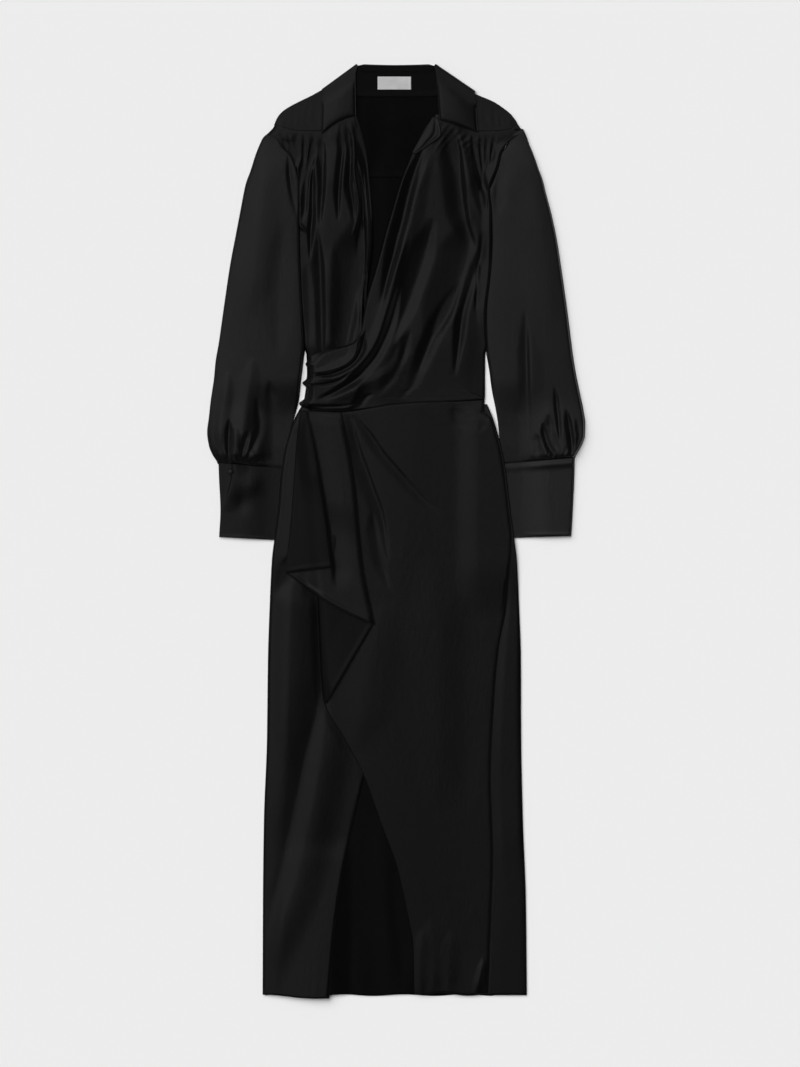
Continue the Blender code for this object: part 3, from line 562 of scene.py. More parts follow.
def slit_ridge(x, y):
    """The fold of the back that rises towards the under-front's free edge and lifts that edge."""
    edge = under_skirt_edge(y)
    run = np.maximum(SLIT_FOLD_X - np.maximum(x, edge - 3), 0)
    rise = SLIT_FOLD_SLOPE * run * eased((SLIT_FOLD_TOP - y) / 40)
    return rise * (1 - eased((edge - 4 - x) / SLIT_FOLD_FALL))


fold_x, fold_y = np.linspace(-200, 0, 50), np.full(50, -690.0)
print("the slit's fold at the hem:", slit_ridge(fold_x, fold_y).max().round(1), "mm high")

# %% Lay the back skirt
BACK_INSET = 3.5  # from the skirt's left side to its own left edge
SIDE_INSET = 0.6  # from the skirt's right side to its turned cloth
TURN_START, TURN_END = 0.8, 0.86  # shares of its cut between which it turns over to the front
BACK_HEM_RISE = 0.9  # of the soft waves of its hem
BULGE = 1.1  # height of the stretch that shows on the front


def back_hem_wave(x, y):
    """Soft waves near the hem, only where the slit shows them."""
    grown = BACK_HEM_RISE * eased((-560 - y) / 120)
    waves = 0.4 + uneven(x / 400 + 0.5, 9, 1.0)
    return grown * waves * eased((x + 108) / 10) * eased((34 - x) / 12)


def side_bulge(across, y):
    """The stretch on the front stands up between its turn and the side seam, most at the thigh."""
    bulge = BULGE * eased((1 - across) / 0.4) * eased(across / 0.1) * eased((-50 - y) / 80)
    return bulge * (1 - 0.6 * eased((-440 - y) / 80)) * (0.8 + 0.2 * np.sin(y / 47))


def back_skirt_place(u, v):
    """Flat up to its turn, round the right side of the dress, then over to the side seam."""
    y = row_at(SKIRT_ROWS, v)[0]
    left, right = at_height(SKIRT_SIDES, y)
    (seam,) = at_height(SIDE_SEAM, y)
    radius = LAYER / 2
    centre = right - SIDE_INSET - radius
    flat_x = left + BACK_INSET + (centre - left - BACK_INSET) * np.minimum(u / TURN_START, 1)
    folds = creased(BACK_SKIRT_CREASES, flat_x, y) + back_hem_wave(flat_x, y)
    flat_z = GROUND + bed(flat_x, y) + above_floor(folds, softness=0.1) + slit_ridge(flat_x, y)
    turned = np.clip((u - TURN_START) / (TURN_END - TURN_START), 0, 1)
    turn_x = radius * np.sin(math.pi * turned)
    turn_z = radius * (1 - np.cos(math.pi * turned))
    across = np.clip((u - TURN_END) / (1 - TURN_END), 0, 1)
    x = np.where(u <= TURN_START, flat_x, centre + turn_x + (seam + SEAM_GAP - centre) * across)
    over_z = GROUND + turn_z + bed(np.minimum(x, right), y, eased(turned)) + side_bulge(across, y)
    y = y + 1.2 * eased((-640 - y) / 56) * np.sin(x / 14.5 + 0.8) * (u < 0.7)
    return x, y, np.where(u <= TURN_START, flat_z, over_z)


mesh = bmesh.new()
back_columns = spread((TURN_START, 76), (TURN_END, 6), (1, 14))
add_sheet(mesh, back_columns, spread((1, 220)), back_skirt_place, (440, 887))
# Its reverse faces up, with painted shade in the slit
back_skirt = lay("back_skirt_cloth", mesh, FACE_DOWN)

# %% [markdown]
# ## The front yokes
# Small pieces over each shoulder, which the fronts are gathered to. They are smooth, and only
# their lower edge is pulled into dips by the gathers below it.

# %% Tables of the front yokes: their rows, and x, y along their shoulders and seams
LEFT_YOKE = ((-181.5, 612, -70.5, 682.5, -4), (-183, 608, -70.5, 611, 0))
RIGHT_YOKE = ((73.5, 682.5, 181, 612, -4), (73.5, 612, 185, 607, 0))
LEFT_SHOULDER = (
    (-183, 606),
    (-181, 613.5),
    (-175.5, 623.5),
    (-168.5, 630.5),
    (-157.5, 637.5),
    (-145, 644),
    (-127.5, 652.5),
    (-113, 660.5),
    (-96, 669),
    (-70.5, 682),
)
RIGHT_SHOULDER = (
    (73.5, 681),
    (100, 666),
    (118.5, 655.5),
    (135.5, 648.5),
    (147.5, 643),
    (161, 634),
    (171, 626),
    (179, 616),
    (184, 606.5),
)
LEFT_YOKE_SEAM = (
    (-193, 607.5),
    (-182, 607.5),
    (-150, 600),
    (-114, 598.5),
    (-98, 610),
    (-84, 616),
    (-58, 624),
)
RIGHT_YOKE_SEAM = (
    (61, 625),
    (92, 612),
    (116, 601),
    (128, 598.5),
    (150, 599),
    (182, 605),
    (190, 607),
)
print("yoke seams from", LEFT_YOKE_SEAM[0][0], "to", RIGHT_YOKE_SEAM[-1][0])

# %% How a gathered front hangs from its yoke
CREASE_DEPTH = 0.8  # share of the drawn heights that the fronts' creases reach
YOKE_RISE = 0.8  # of a front yoke, from the shoulder down to the gathers
GATHER_LENGTH = 34  # below a yoke's seam, over which its gathers grow deep
GATHER_RISE_LENGTH = 90  # and over which the gathered cloth reaches its full height
YOKE_TUCK = 1.2  # how far a front's top edge goes up under its yoke


def yoke_rise(x):
    """Height of the gathered seam over the flat cloth: it dies away at the armhole."""
    return YOKE_RISE * eased((184 - abs(x)) / 16)


def gathered(seam, lift, creases, small, x, y):
    """Height over the flat cloth of a front that hangs from its yoke's seam, full and creased."""
    below = along_seam(seam, x) - y
    at_seam = yoke_rise(x)
    full = at_seam + (lift - at_seam) * eased(below / GATHER_RISE_LENGTH)
    deep = eased(below / GATHER_LENGTH)
    folds = above_floor(full + (small + CREASE_DEPTH * creased(creases, x, y)) * deep)
    return folds + (at_seam - folds) * (1 - eased(below / 3))


def small_gathers(u, v, count, start):
    """Fine ripples just below a yoke's seam, which die away down the front."""
    return uneven(u, count, start) * (1 - eased(v / 0.2)) - 0.4


def up_to_yoke(v):
    """How far the top edge of a front is drawn up under its yoke."""
    return YOKE_TUCK * (1 - eased(v / 0.02))


print("seam's height at x = 100:", round(float(yoke_rise(100)), 2), "mm")

# %% How a front lies on a sleeve at the armhole
ARMHOLE_LAP = 4.0  # the bodice's edge covers the sleeve's by this much
ARMHOLE_RISE = 1.9  # of that edge over the flat cloth
EDGE_LEVEL = 0.95  # height of a bodice's side edge, where it lies on the back's


def by_armhole(side):
    """Share of a front's fullness at a distance from its armhole: a quick rise, then a slow one."""
    return (0.12 + 0.88 * eased((side - 0.3) / 2.6)) * (0.6 + 0.4 * eased(side / 40))


def at_armhole(y, top):
    """Share of the lap at a height: it starts under the arm and ends at the shoulder."""
    return eased((y - 264) / 14) * eased((top - y) / 12)


def over_sleeve(y):
    """0 at the waist, 1 from where the bodice's edge lies on a sleeve."""
    return eased((y - 290) / 50)


print("fullness 1 mm from the armhole:", round(float(by_armhole(1.0)), 2))


# %% Lay the front yokes
def yoke_place(sections, shoulder, seam):
    """Places on a yoke between the line of the shoulder and the seam that the front hangs from."""

    def shoulder_y(at):
        return along_seam(shoulder, at)

    def seam_y(at):
        return along_seam(seam, at) + 2 * SEAM_GAP

    def place(u, v):
        x, y, _ = section_place(sections, u, v, top=shoulder_y, bottom=seam_y)
        pulled = 0.25 * uneven(u, 11, 0.7) * np.sin(math.pi * v) ** 2 * v
        return x, y, GROUND + LAYER + bed(x, y, 1) + (pulled / YOKE_RISE + v) * yoke_rise(x)

    return place


for side, sections, shoulder, seam in (
    ("left", LEFT_YOKE, LEFT_SHOULDER, LEFT_YOKE_SEAM),
    ("right", RIGHT_YOKE, RIGHT_SHOULDER, RIGHT_YOKE_SEAM),
):
    mesh = bmesh.new()
    add_sheet(mesh, spread((1, 90)), spread((1, 34)), yoke_place(sections, shoulder, seam), (124, 52))
    lay(f"front_yoke_{side}_cloth", mesh)

# %% [markdown]
# ## The under-front
# The left front is gathered to its yoke and under the collar. Its creases fall from there, close
# and deep at the armhole, broad and soft lower down, and it goes under the wrap at the waist.
# Its free edge down the neck is turned back on itself, so it shows a second line beside the edge.

# %% Rows of the under-front: left x, left y, right x, right y
UNDER_BODICE = (
    (-181.5, 607.5, -58.5, 619.5),
    (-192.5, 593.5, -52.5, 601.5),
    (-181, 587, -48, 586.5),
    (-169, 578, -44, 568.5),
    (-157, 566, -41, 549),
    (-145.5, 541, -39, 526.5),
    (-142.5, 520.5, -37, 504),
    (-143, 475.5, -34.5, 459),
    (-142.5, 444, -34.5, 432),
    (-141.5, 402, -38, 397.5),
    (-139, 352.5, -43, 352.5),
    (-134.5, 271.5, -45, 271.5),
    (-133.5, 234, -45, 234),
    (-138.5, WAIST + SEAM_GAP, -45, WAIST + SEAM_GAP),
)
print("rows of the under-front:", len(UNDER_BODICE))

# %% Creases of the under-front: points x, y down the crease, width on its left, on its right, height
UNDER_BODICE_CREASES = (
    (((-176, 604), (-170, 591), (-165, 581), (-158, 566)), 2.2, 1.8, -3.0),
    (((-163, 598), (-156, 572), (-152.5, 557), (-147.5, 540)), 2.0, 1.8, -3.4),
    (((-158, 616), (-151, 599), (-149, 580), (-148.5, 557), (-146, 536)), 3.8, 3.0, -5.6),
    (((-139, 606), (-137, 575), (-138.5, 549), (-141, 522), (-141, 496)), 2.4, 2.2, -4.6),
    (
        ((-126, 610), (-123.5, 575), (-128, 554), (-133, 534), (-134.5, 507), (-135.5, 482), (-138, 464)),
        3.8, 3.0, -6.2,
    ),
    (((-123, 552), (-125, 531), (-126, 500), (-126, 474), (-128, 450), (-129, 408)), 2.6, 3.6, -5.8),
    (((-112, 606), (-110, 560), (-110, 524), (-112, 491), (-114, 456)), 6.0, 3.0, -3.8),
    (((-86, 618), (-82, 591), (-80, 571), (-82, 551), (-84, 531), (-86, 500), (-86, 464)), 4.5, 2.4, -3.2),
    (((-80, 622), (-70, 592), (-67, 566), (-68, 541), (-69, 520), (-65, 495), (-62, 462)), 5.5, 2.0, -3.8),
    (((-64, 592), (-64, 557), (-61, 531), (-56, 507), (-55, 482), (-59, 461), (-66, 443)), 2.6, 3.4, 2.2),
    (((-60, 560), (-55, 534), (-51, 507), (-49, 474), (-48, 441), (-47, 380), (-48, 280)), 6.5, 2.0, -5.6),
    (((-58, 640), (-53, 606), (-48, 584), (-44, 562), (-41, 538), (-38.5, 505), (-37, 460)), 8, 1.4, -5.4),
    (((-48, 470), (-54, 420), (-60, 367), (-69, 311), (-80, 246)), 23, 6, -6.0),
    (((-118, 454), (-115, 416), (-113, 367), (-110, 250)), 7.5, 4, -4.2),
    (((-133, 400), (-130, 350), (-128, 262)), 5, 4, -2.2),
    (((-144, 486), (-143.5, 464), (-139, 456), (-131, 446)), 1.8, 1.8, 3.4),
    (((-96, 430), (-98, 360), (-100, 262)), 8, 8, 1.2),
)
print("creases of the under-front:", len(UNDER_BODICE_CREASES))

# %% Lay the under-front
UNDER_BODICE_LIFT = 4.9  # how far its gathered cloth stands over the back
UNDER_WRAP_Y = 250  # below this height it lies flat under the wrap
NECK_EDGE_RISE = 0.9  # of its neck edge, and of the line where the edge's turning ends
EDGE_LINE, TURNING_LINE = 1.8, 7.2  # from the neck edge to those two lines


def under_bodice_place(u, v):
    x, y, width = section_place(UNDER_BODICE, u, v, top=lambda at: along_seam(LEFT_YOKE_SEAM, at))
    full = GROUND + LAYER + bed(x, y, 1)
    side, edge = u * width, (1 - u) * width
    under_wrap = eased((y - UNDER_WRAP_Y) / 34)
    small = small_gathers(u, v, 13, 0.4)
    folds = gathered(LEFT_YOKE_SEAM, UNDER_BODICE_LIFT, UNDER_BODICE_CREASES, small, x, y)
    folds = folds * by_armhole(side) * eased((edge + 1.2) / 8) * under_wrap
    two_lines = soft_bump(edge, EDGE_LINE, 1.2)
    two_lines = two_lines + soft_bump(edge, TURNING_LINE, 1.4) * eased((548 - y) / 30)
    x = x - ARMHOLE_LAP * at_armhole(y, 600) * (1 - eased(side / 12))
    y = y + up_to_yoke(v)
    low = EDGE_LEVEL + ARMHOLE_RISE * over_sleeve(y)
    base = low + (full - low) * eased(side / 4)
    return x, y, base + folds + NECK_EDGE_RISE * two_lines * under_wrap


mesh = bmesh.new()
under_columns = spread((0.06, 8), (0.94, 96), (1, 12))
add_sheet(mesh, under_columns, spread((0.5, 120), (1, 90)), under_bodice_place, (150, 425))
under_bodice = lay("under_bodice_cloth", mesh)

# %% [markdown]
# ## The over-front
# The right front crosses the body and is tucked into the left side of the waist. Its rows fan out
# from the shoulder to that side, so its long creases run along the rows and stay smooth. They
# crowd together at the left waist, deep under the neckline and shallow towards the hip.

# %% The waist seam, as x, y, and the rows of the over-front: left x, left y, right x, right y
FRONT_WAIST = (
    (-145, 180.5),
    (-121.5, 180),
    (-99, 179),
    (-76.5, 179.5),
    (-54, 182.5),
    (-25.5, 187.5),
    (-6, 190.5),
    (36, 194),
    (90, 196),
    (136, 199),
)
OVER_BODICE = (
    (61.5, 622.5, 184.5, 607),
    (45, 604.5, 190, 600.5),
    (33, 583.5, 165, 584),
    (19.5, 556.5, 154, 567),
    (6, 522, 149.5, 547.5),
    (-6, 481.5, 136, 508.5),
    (-15, 451.5, 139.5, 478.5),
    (-30, 396, 138.5, 399),
    (-45, 345, 131.5, 327),
    (-55.5, 294, 133.5, 271.5),
    (-66, 282, 133, 199.5),
    (-76.5, 277.5, 66, 195),
    (-91.5, 274, -6, 192),
    (-106.5, 271, -54, 181.5),
    (-120, 265.5, -99, 178.5),
    (-132, 259.5, -137, 180.5),
)
PLEAT_TURN = 10 / 15  # below this row its right ends run along the waist seam
print("rows of the over-front:", len(OVER_BODICE))

# %% Creases of the over-front: points x, y down the crease, width on its left, on its right, height
OVER_BODICE_CREASES = (
    (((84, 616), (90, 577), (93, 549), (97, 511), (101, 480), (108, 450), (122, 422)), 14, 4.5, -6.0),
    (((92, 606), (103, 560), (111, 519), (121, 485), (130, 466)), 5, 5, 1.4),
    (((113, 604), (120, 558), (126, 530), (131.5, 508), (134, 478)), 2.8, 2.4, -5.4),
    (((126, 604), (128.5, 558), (131, 530), (134, 504)), 2.2, 2.0, -4.4),
    (((137, 602), (135, 558), (133, 534)), 2.4, 2.2, -3.6),
    (((148, 600), (145, 571), (141, 548)), 2.0, 1.8, -3.0),
    (
        ((44, 580), (36, 560), (26.5, 534), (15.5, 493), (9, 465),
         (1, 436), (-5, 408), (-13, 376), (-22, 340)),
        7, 5, -4.8,
    ),
    (
        ((52, 570), (43.5, 540), (32, 508), (25, 474), (15.5, 440),
         (6, 410), (-3.5, 380), (-11, 350), (-24, 306)),
        5, 9, 1.8,
    ),
    (((16, 440), (2, 396), (-10, 342), (-31, 280), (-55, 252), (-84, 234), (-122, 226)), 7, 6.5, 3.0),
    (((56, 468), (47, 430), (37, 395), (19, 343), (6, 311), (-6, 280)), 13, 8, -4.6),
    (((6, 372), (-10, 308), (-27, 268), (-42, 247), (-58, 229), (-86, 211), (-118, 196)), 5.0, 5.4, -5.0),
    (((-50, 318), (-57, 284), (-60, 266), (-67, 255), (-82, 246), (-102, 240), (-126, 237)), 6, 1.7, 3.4),
    (((-46, 300), (-53, 268), (-70, 247), (-96, 235), (-122, 232)), 2.6, 4.0, -3.8),
    (((-66, 241), (-84, 226), (-104, 220), (-124, 219)), 1.6, 1.6, -1.6),
    (((9, 286), (-1, 248), (-22, 231), (-52, 216), (-104, 193)), 6, 8, 2.0),
    (((22, 300), (10, 262), (-4, 232), (-26, 204)), 9, 4, -2.4),
    (((112, 466), (106, 410), (88, 360), (69, 317), (54, 288)), 24, 9, -5.0),
    (((98, 374), (69, 317), (44, 264), (17, 196)), 8, 6, -4.0),
    (((132, 452), (127, 412), (119, 390), (101, 330), (94.5, 280), (88, 232)), 6, 4.5, -4.8),
    (((124, 406), (122, 370), (120, 330)), 2.5, 2.5, -2.4),
    (((66, 330), (52, 290), (34, 240)), 8, 4, -1.6),
    (((-36, 206), (-46, 199), (-55, 184)), 2.2, 2.4, -2.6),
    (((18, 214), (12, 205), (8, 197)), 2, 2, -1.6),
    (((30, 216), (22, 207), (17, 198)), 2, 2, 1.4),
    (((-60, 190.5), (-78, 187.5), (-102, 186.5), (-126, 187)), 1.5, 1.8, -2.6),
)
print("creases of the over-front:", len(OVER_BODICE_CREASES))

# %% How the over-front lies, and how the waist seam holds it
OVER_BODICE_LIFT = 4.9  # how far its gathered cloth stands over what it lies on
OVER_ARMHOLE_RISE = ARMHOLE_RISE + 0.5  # the right sleeve stands a little higher under it
WAIST_TUCK = 1.4  # how far its lower edge goes under the waist seam
SIDE_TUCK = 2.4  # how far its left end sinks, behind the knobs
KNOB_RISE = 1.5  # of each pleat's end there
# Where the tucked pleats end at the left side: y, how far each knob stands out, half its height
SIDE_KNOBS = ((250, 3.0, 3.4), (222, 6.0, 4.0), (191, 9.0, 5.5))
FINE_ROWS = 90  # rows that its table is worked out to


def over_bodice_base(x, y):
    """It lies on the back at the right and on the under-front at the left."""
    return GROUND + LAYER + bed(x, y, 2) + LAYER * eased((20 - x) / 50)


def held_by_waist(x, to_waist):
    """Share of the folds that is left near the waist seam. They stay deep closer to it at the left."""
    left_end = eased((-30 - x) / 40)
    least = 0.42 - 0.12 * left_end
    flatter = least + (1 - least) * eased(to_waist / (105 - 93 * left_end))
    at_seam = 0.85 * (1 - left_end)
    return flatter * (at_seam + (1 - at_seam) * eased((to_waist + 1.2) / 2.4))


def over_bodice_spot(u, v):
    """Place on its rows, whose right ends follow the waist seam below the turn."""
    sections = [row_at(OVER_BODICE, k / FINE_ROWS) for k in range(FINE_ROWS + 1)]
    for section in sections[round(PLEAT_TURN * FINE_ROWS) :]:
        section[3] = along_seam(FRONT_WAIST, section[2]) + SEAM_GAP
    return section_place(sections, u, v, top=lambda at: along_seam(RIGHT_YOKE_SEAM, at))


print("share of the folds left 20 mm above the waist:", held_by_waist(60, 20.0).round(2))


# %% Lay the over-front
def over_bodice_place(u, v):
    x, y, width = over_bodice_spot(u, v)
    above_turn = v < PLEAT_TURN
    edge, side = u * width, (1 - u) * width
    to_waist = y - along_seam(FRONT_WAIST, x) - SEAM_GAP
    small = small_gathers(u, v, 14, 1.3)
    folds = gathered(RIGHT_YOKE_SEAM, OVER_BODICE_LIFT, OVER_BODICE_CREASES, small, x, y)
    folds = folds * eased((edge + 1.5) / 5) * np.where(above_turn, by_armhole(side), 1.0)
    folds = folds * held_by_waist(x, to_waist)

    full = over_bodice_base(x, y)
    low = EDGE_LEVEL + (full - EDGE_LEVEL) * (1 - eased((y - 206) / 30))
    base = np.where(above_turn, low + (full - low) * eased(side / 2.8), full)
    end = eased((v - 0.93) / 0.07)
    for knob_y, out, tall in SIDE_KNOBS:
        at_knob = soft_bump(y, knob_y, tall)
        x = x - out * at_knob * end * end
        folds = folds + KNOB_RISE * at_knob * end
    base = base - SIDE_TUCK * eased((v - 0.97) / 0.03)

    near_side = np.where(above_turn, 1 - eased(side / 12), 0.0)
    x = x + ARMHOLE_LAP * at_armhole(y, 602) * near_side
    base = base + OVER_ARMHOLE_RISE * over_sleeve(y) * near_side
    y = y + up_to_yoke(v) - WAIST_TUCK * (1 - eased((to_waist + 0.5) / 2))
    return x, y, base + folds


mesh = bmesh.new()
over_columns = spread((0.08, 14), (0.96, 124), (1, 8))
add_sheet(mesh, over_columns, spread((0.4, 80), (1, 150)), over_bodice_place, (175, 520))
over_bodice = lay("over_bodice_cloth", mesh)

# %% [markdown]
# ## The neck facing
# The over-front's edge is faced with a strip of its own cloth. At the top of the neckline the
# strip turns out beside the collar, and only there does it show.

# %% Lay the neck facing
FACING_RISE = 1.9  # over the front that it turns out on
NECK_FACING = (
    (55, 621, 63, 618.5),
    (46, 604.5, 68, 594.5),
    (33.5, 583.5, 50.5, 579.5),
    (24, 566.5, 28.5, 565),
)


def facing_place(u, v):
    """A strip that rises to its outer edge, with a hollow down it. Both are flat at its two ends."""
    x, y, _ = section_place(NECK_FACING, u, v)
    hollow = 1.3 * soft_bump(u, 0.5 + 0.3 * v, 0.14)
    curl = (1.6 * u - hollow + soft_bump(u, 0.9, 0.1)) * np.sin(math.pi * v)
    lift = gathered(RIGHT_YOKE_SEAM, OVER_BODICE_LIFT, (), 0.0, x, y)
    return x, y, over_bodice_base(x, y) + lift + FACING_RISE + curl


mesh = bmesh.new()
add_sheet(mesh, spread((1, 22)), spread((1, 44)), facing_place, (20, 62))
neck_facing = lay("neck_facing_cloth", mesh, (SATIN_PAINTED_LIGHT, SATIN))

# %% [markdown]
# ## The under-skirt
# The left skirt front shows at the lower left and beside the slit. One broad fold catches the
# light down its length, with a soft hollow on either side of it.

# %% Creases of the under-skirt: points x, y down the crease, width on its left, on its right, height
UNDER_SKIRT_CREASES = (
    (((-156, -34), (-172, -70), (-194, -104)), 6, 10, -3.2),
    (((-176, -300), (-180, -420), (-188, -520)), 12, 14, -1.0),
    (((-148, 180), (-152, 166), (-155, 148)), 4, 9, 3.0),
)
print("creases of the under-skirt:", len(UNDER_SKIRT_CREASES))

# %% The broad fold: y, x of its middle, half the width of its lit side, share of its height
LIGHT_FOLD = (
    (-40, -99, 8, 0.0),
    (-150, -99, 8, 0.0),
    (-222, -103, 7, 0.0),
    (-262, -110, 8, 0.35),
    (-358, -127, 14, 1.0),
    (-448, -145, 15, 1.0),
    (-538, -167, 15, 1.0),
    (-606, -193.5, 14, 0.95),
    (-660, -220, 14, 0.8),
    (-702, -236, 13, 0.6),
)
LIT_RISE = 3.6  # of the side that faces the light
HOLLOW_WIDTH, HOLLOW_DEPTH = 52, 5.1  # of the long fall on its left
BEYOND_WIDTH, BEYOND_DEPTH = 50, 3.4  # of the fall on its right


def light_fold(x, y):
    """A long fall at its left, a rise that faces the light, and a fall beyond it."""
    middle, half, share = at_height(LIGHT_FOLD, y)
    left_fall = np.clip((x - middle + half + HOLLOW_WIDTH) / HOLLOW_WIDTH, 0, 1) ** 1.6
    left_fall = left_fall * eased((-40 - y) / 50)
    rise = eased((x - middle + half) / (2 * half))
    right_fall = eased((x - middle - half) / BEYOND_WIDTH)
    return share * (LIT_RISE * rise - BEYOND_DEPTH * right_fall) - HOLLOW_DEPTH * left_fall


print("broad fold from y =", LIGHT_FOLD[0][0], "to", LIGHT_FOLD[-1][0])

# %% Left edge of the over-skirt and of its cascade's first fold: y, x
OVER_SKIRT_EDGE = (
    (180.5, -139.5),
    (76.5, -132),
    (-13.5, -124.5),
    (-109.5, -117),
    (-168, -114.5),
    (-225, -111.5),
    (-258, -107.5),
    (-310.5, -78),
    (-366, -48.5),
    (-440, -21.5),
    (-505.5, 2.5),
    (-567.5, 16.5),
    (-626, 26.5),
    (-693, 27.5),
)
print("over-skirt's left edge from", OVER_SKIRT_EDGE[0], "to", OVER_SKIRT_EDGE[-1])

# %% Lay the under-skirt
UNDER_SKIRT_DIP = 5  # how much lower its hem is at the slit
UNDER_SKIRT_LIFT = 5.2  # how far it stands over the back below the hip
LIFT_BY_CASCADE = 1.4  # and above that, at the left of the cascade


def under_skirt_place(u, v):
    y = row_at(SKIRT_ROWS, v)[0]
    left, _ = at_height(SKIRT_SIDES, y)
    right = under_skirt_edge(y)
    x = left + (right - left) * u
    offset, edge = x - left, right - x
    y = y - 4 * eased((x + 60) / 30) * (1 - eased(v / 0.03))
    hem = eased((-620 - y) / 76)
    y = y - UNDER_SKIRT_DIP * u * hem + 1.1 * hem * np.sin(x / 17)
    full = GROUND + LAYER + bed(x, y, 1)
    inside = eased((offset + 1) / 34) * eased((edge + 1) / 5)
    (over_edge,) = at_height(OVER_SKIRT_EDGE, y)
    shown = 0.3 + 0.7 * eased((over_edge + 4 - x) / 18)
    by_cascade = LIFT_BY_CASCADE * eased((-128 - x) / 14)
    lift = by_cascade + (UNDER_SKIRT_LIFT - by_cascade) * eased((-66 - y) / 50)
    folds = above_floor(lift + light_fold(x, y) + creased(UNDER_SKIRT_CREASES, x, y)) * inside * shown
    on_ridge = slit_ridge(x, y) * (1 + 0.08 * eased((edge - 1) / 4))
    folds = folds + on_ridge + 0.15 * hem * uneven(u, 7, 2.0)
    low = GROUND + 0.15 + bed(x, y)
    return x, y, low + (full - low) * eased(offset / 4) + folds


mesh = bmesh.new()
add_sheet(mesh, spread((0.04, 5), (0.97, 76), (1, 4)), spread((1, 250)), under_skirt_place, (225, 885))
under_skirt = lay("under_skirt_cloth", mesh)

# %% [markdown]
# ## The over-skirt and its cascade
# The right skirt front crosses to the left side and is pleated into the waist there. Its free
# corner is folded over three times and hangs as a cascade. The panel and the cascade are one
# cloth, so they are two grids in one mesh, merged along the fold between them.

# %% Lines of the cascade's second and third fold and of its free end, as x, y from the waist down
SECOND_FOLD = ((-82, 177.8), (-72.5, 135), (-62, 74), (-56, 13.5), (-49, -55.5), (-32, -140))
THIRD_FOLD = ((-143, 180.4), (-148.5, 136.5), (-153, 76.5), (-157.5, 13.5), (-166, -63))
CASCADE_END = ((-134, 180.2), (-131, 166.5), (-120, 111), (-114, 74), (-103.5, 5), (-96, -54))
CASCADE_END_DOWN = tuple((y, x) for x, y in CASCADE_END)
FOLD_ROWS = 12  # rows of the skirt's table down to the end of the first fold
print("cascade from y =", SECOND_FOLD[0][1], "to", SECOND_FOLD[-1][1])

# %% Creases of the over-skirt: points x, y down the crease, width on its left, on its right, height
OVER_SKIRT_CREASES = (
    (((-71, 179), (-64, 157), (-54, 121), (-44, 93), (-34, 64), (-19, 20), (-10, -48)), 10, 1.5, -2.0),
    (((-66, 179), (-56, 166), (-38, 145), (-19, 117), (7, 87), (33, 57), (70, 22)), 7, 1.4, -1.6),
    (((-36, 30), (-24, -34), (-10, -84)), 8, 3, -1.4),
    (((84, 186), (99, 168), (118, 167), (134, 183)), 7, 5, -1.6),
    (((138, 194), (133, 174), (127, 148)), 3, 4, -2.0),
    (((-20, -110), (-38, -200), (-58, -330)), 20, 22, 1.0),
    (((52, -40), (66, -200), (64, -420)), 26, 30, 0.9),
    (((112, -60), (104, -240), (108, -420)), 20, 16, -0.6),
    (((131, -640), (125, -668), (118, -696)), 3, 7, 1.8),
    (((39, -596), (36, -650), (38, -696)), 7, 8, 0.7),
    (((50, -580), (58, -640), (52, -694)), 12, 12, 0.7),
    (((84, -600), (80, -650), (78, -694)), 9, 9, 0.6),
)


# %% How high the over-skirt lies
RIGHT_LIFT, LEFT_LIFT = 0.35, 2.1  # how far it stands over what it lies on


def over_skirt_height(x, y):
    (seam,) = at_height(SIDE_SEAM, y)
    under = under_skirt_edge(y)
    over_front = LAYER * np.clip((seam - 4 - x) / (seam - under - 10), 0, 1)
    left_clear = eased((x + 112) / 14)
    to_waist = along_seam(FRONT_WAIST, x) - y
    lift = RIGHT_LIFT + (LEFT_LIFT - RIGHT_LIFT) * eased((125 - x) / 150)
    sewn = 0.85 + 0.15 * eased((to_waist - 0.4) / 3)
    inside = eased((seam - x + 0.8) / 5) * left_clear * sewn
    folds = above_floor(lift + creased(OVER_SKIRT_CREASES, x, y), 0.5) * inside
    ripple = 0.4 * eased((-610 - y) / 80) * uneven(x / 170, 7, 0.5) * eased((x - 20) / 20)
    hips = np.where(over_front > 0, bed(x, y, 2), bed(x, y, 1))
    return GROUND + LAYER + hips + over_front + folds + ripple


middle_height = over_skirt_height(np.array([60.0]), np.array([-200.0]))
print("over-skirt's height at its middle:", middle_height.round(2), "mm")


# %% Places on the over-skirt's main panel
def over_skirt_place(u, v):
    """A place on the panel, whose top row lies along the waist seam."""
    right_y, left_y = row_at(SKIRT_ROWS, v)
    (left_x,) = at_height(OVER_SKIRT_EDGE, left_y)
    (right_x,) = at_height(SIDE_SEAM, right_y)
    x = left_x + (right_x - left_x) * u
    y = left_y + (right_y - left_y) * u
    first_right_y, first_left_y = SKIRT_ROWS[0]
    first_left_x, first_right_x = OVER_SKIRT_EDGE[0][1], SIDE_SEAM[0][1]
    first_x = first_left_x + (first_right_x - first_left_x) * u
    first_y = first_left_y + (first_right_y - first_left_y) * u
    row = v * (len(SKIRT_ROWS) - 1)
    to_waist = along_seam(FRONT_WAIST, first_x) - 2 * SEAM_GAP - first_y
    y = y + to_waist * np.maximum(1 - row / 4, 0) * (1 - u**4 * np.minimum(row, 1))
    hem = eased((-640 - y) / 56)
    y = y + 1.6 * hem * np.sin(x / 9.5 + 0.6 * np.sin(x / 31)) * eased((x - 20) / 20)
    return x, y, over_skirt_height(x, y)


# %% Lay the main panel
FINE_STEP, COARSE_STEP = 2.5, 5.0  # lengths of its faces beside the cascade and below it


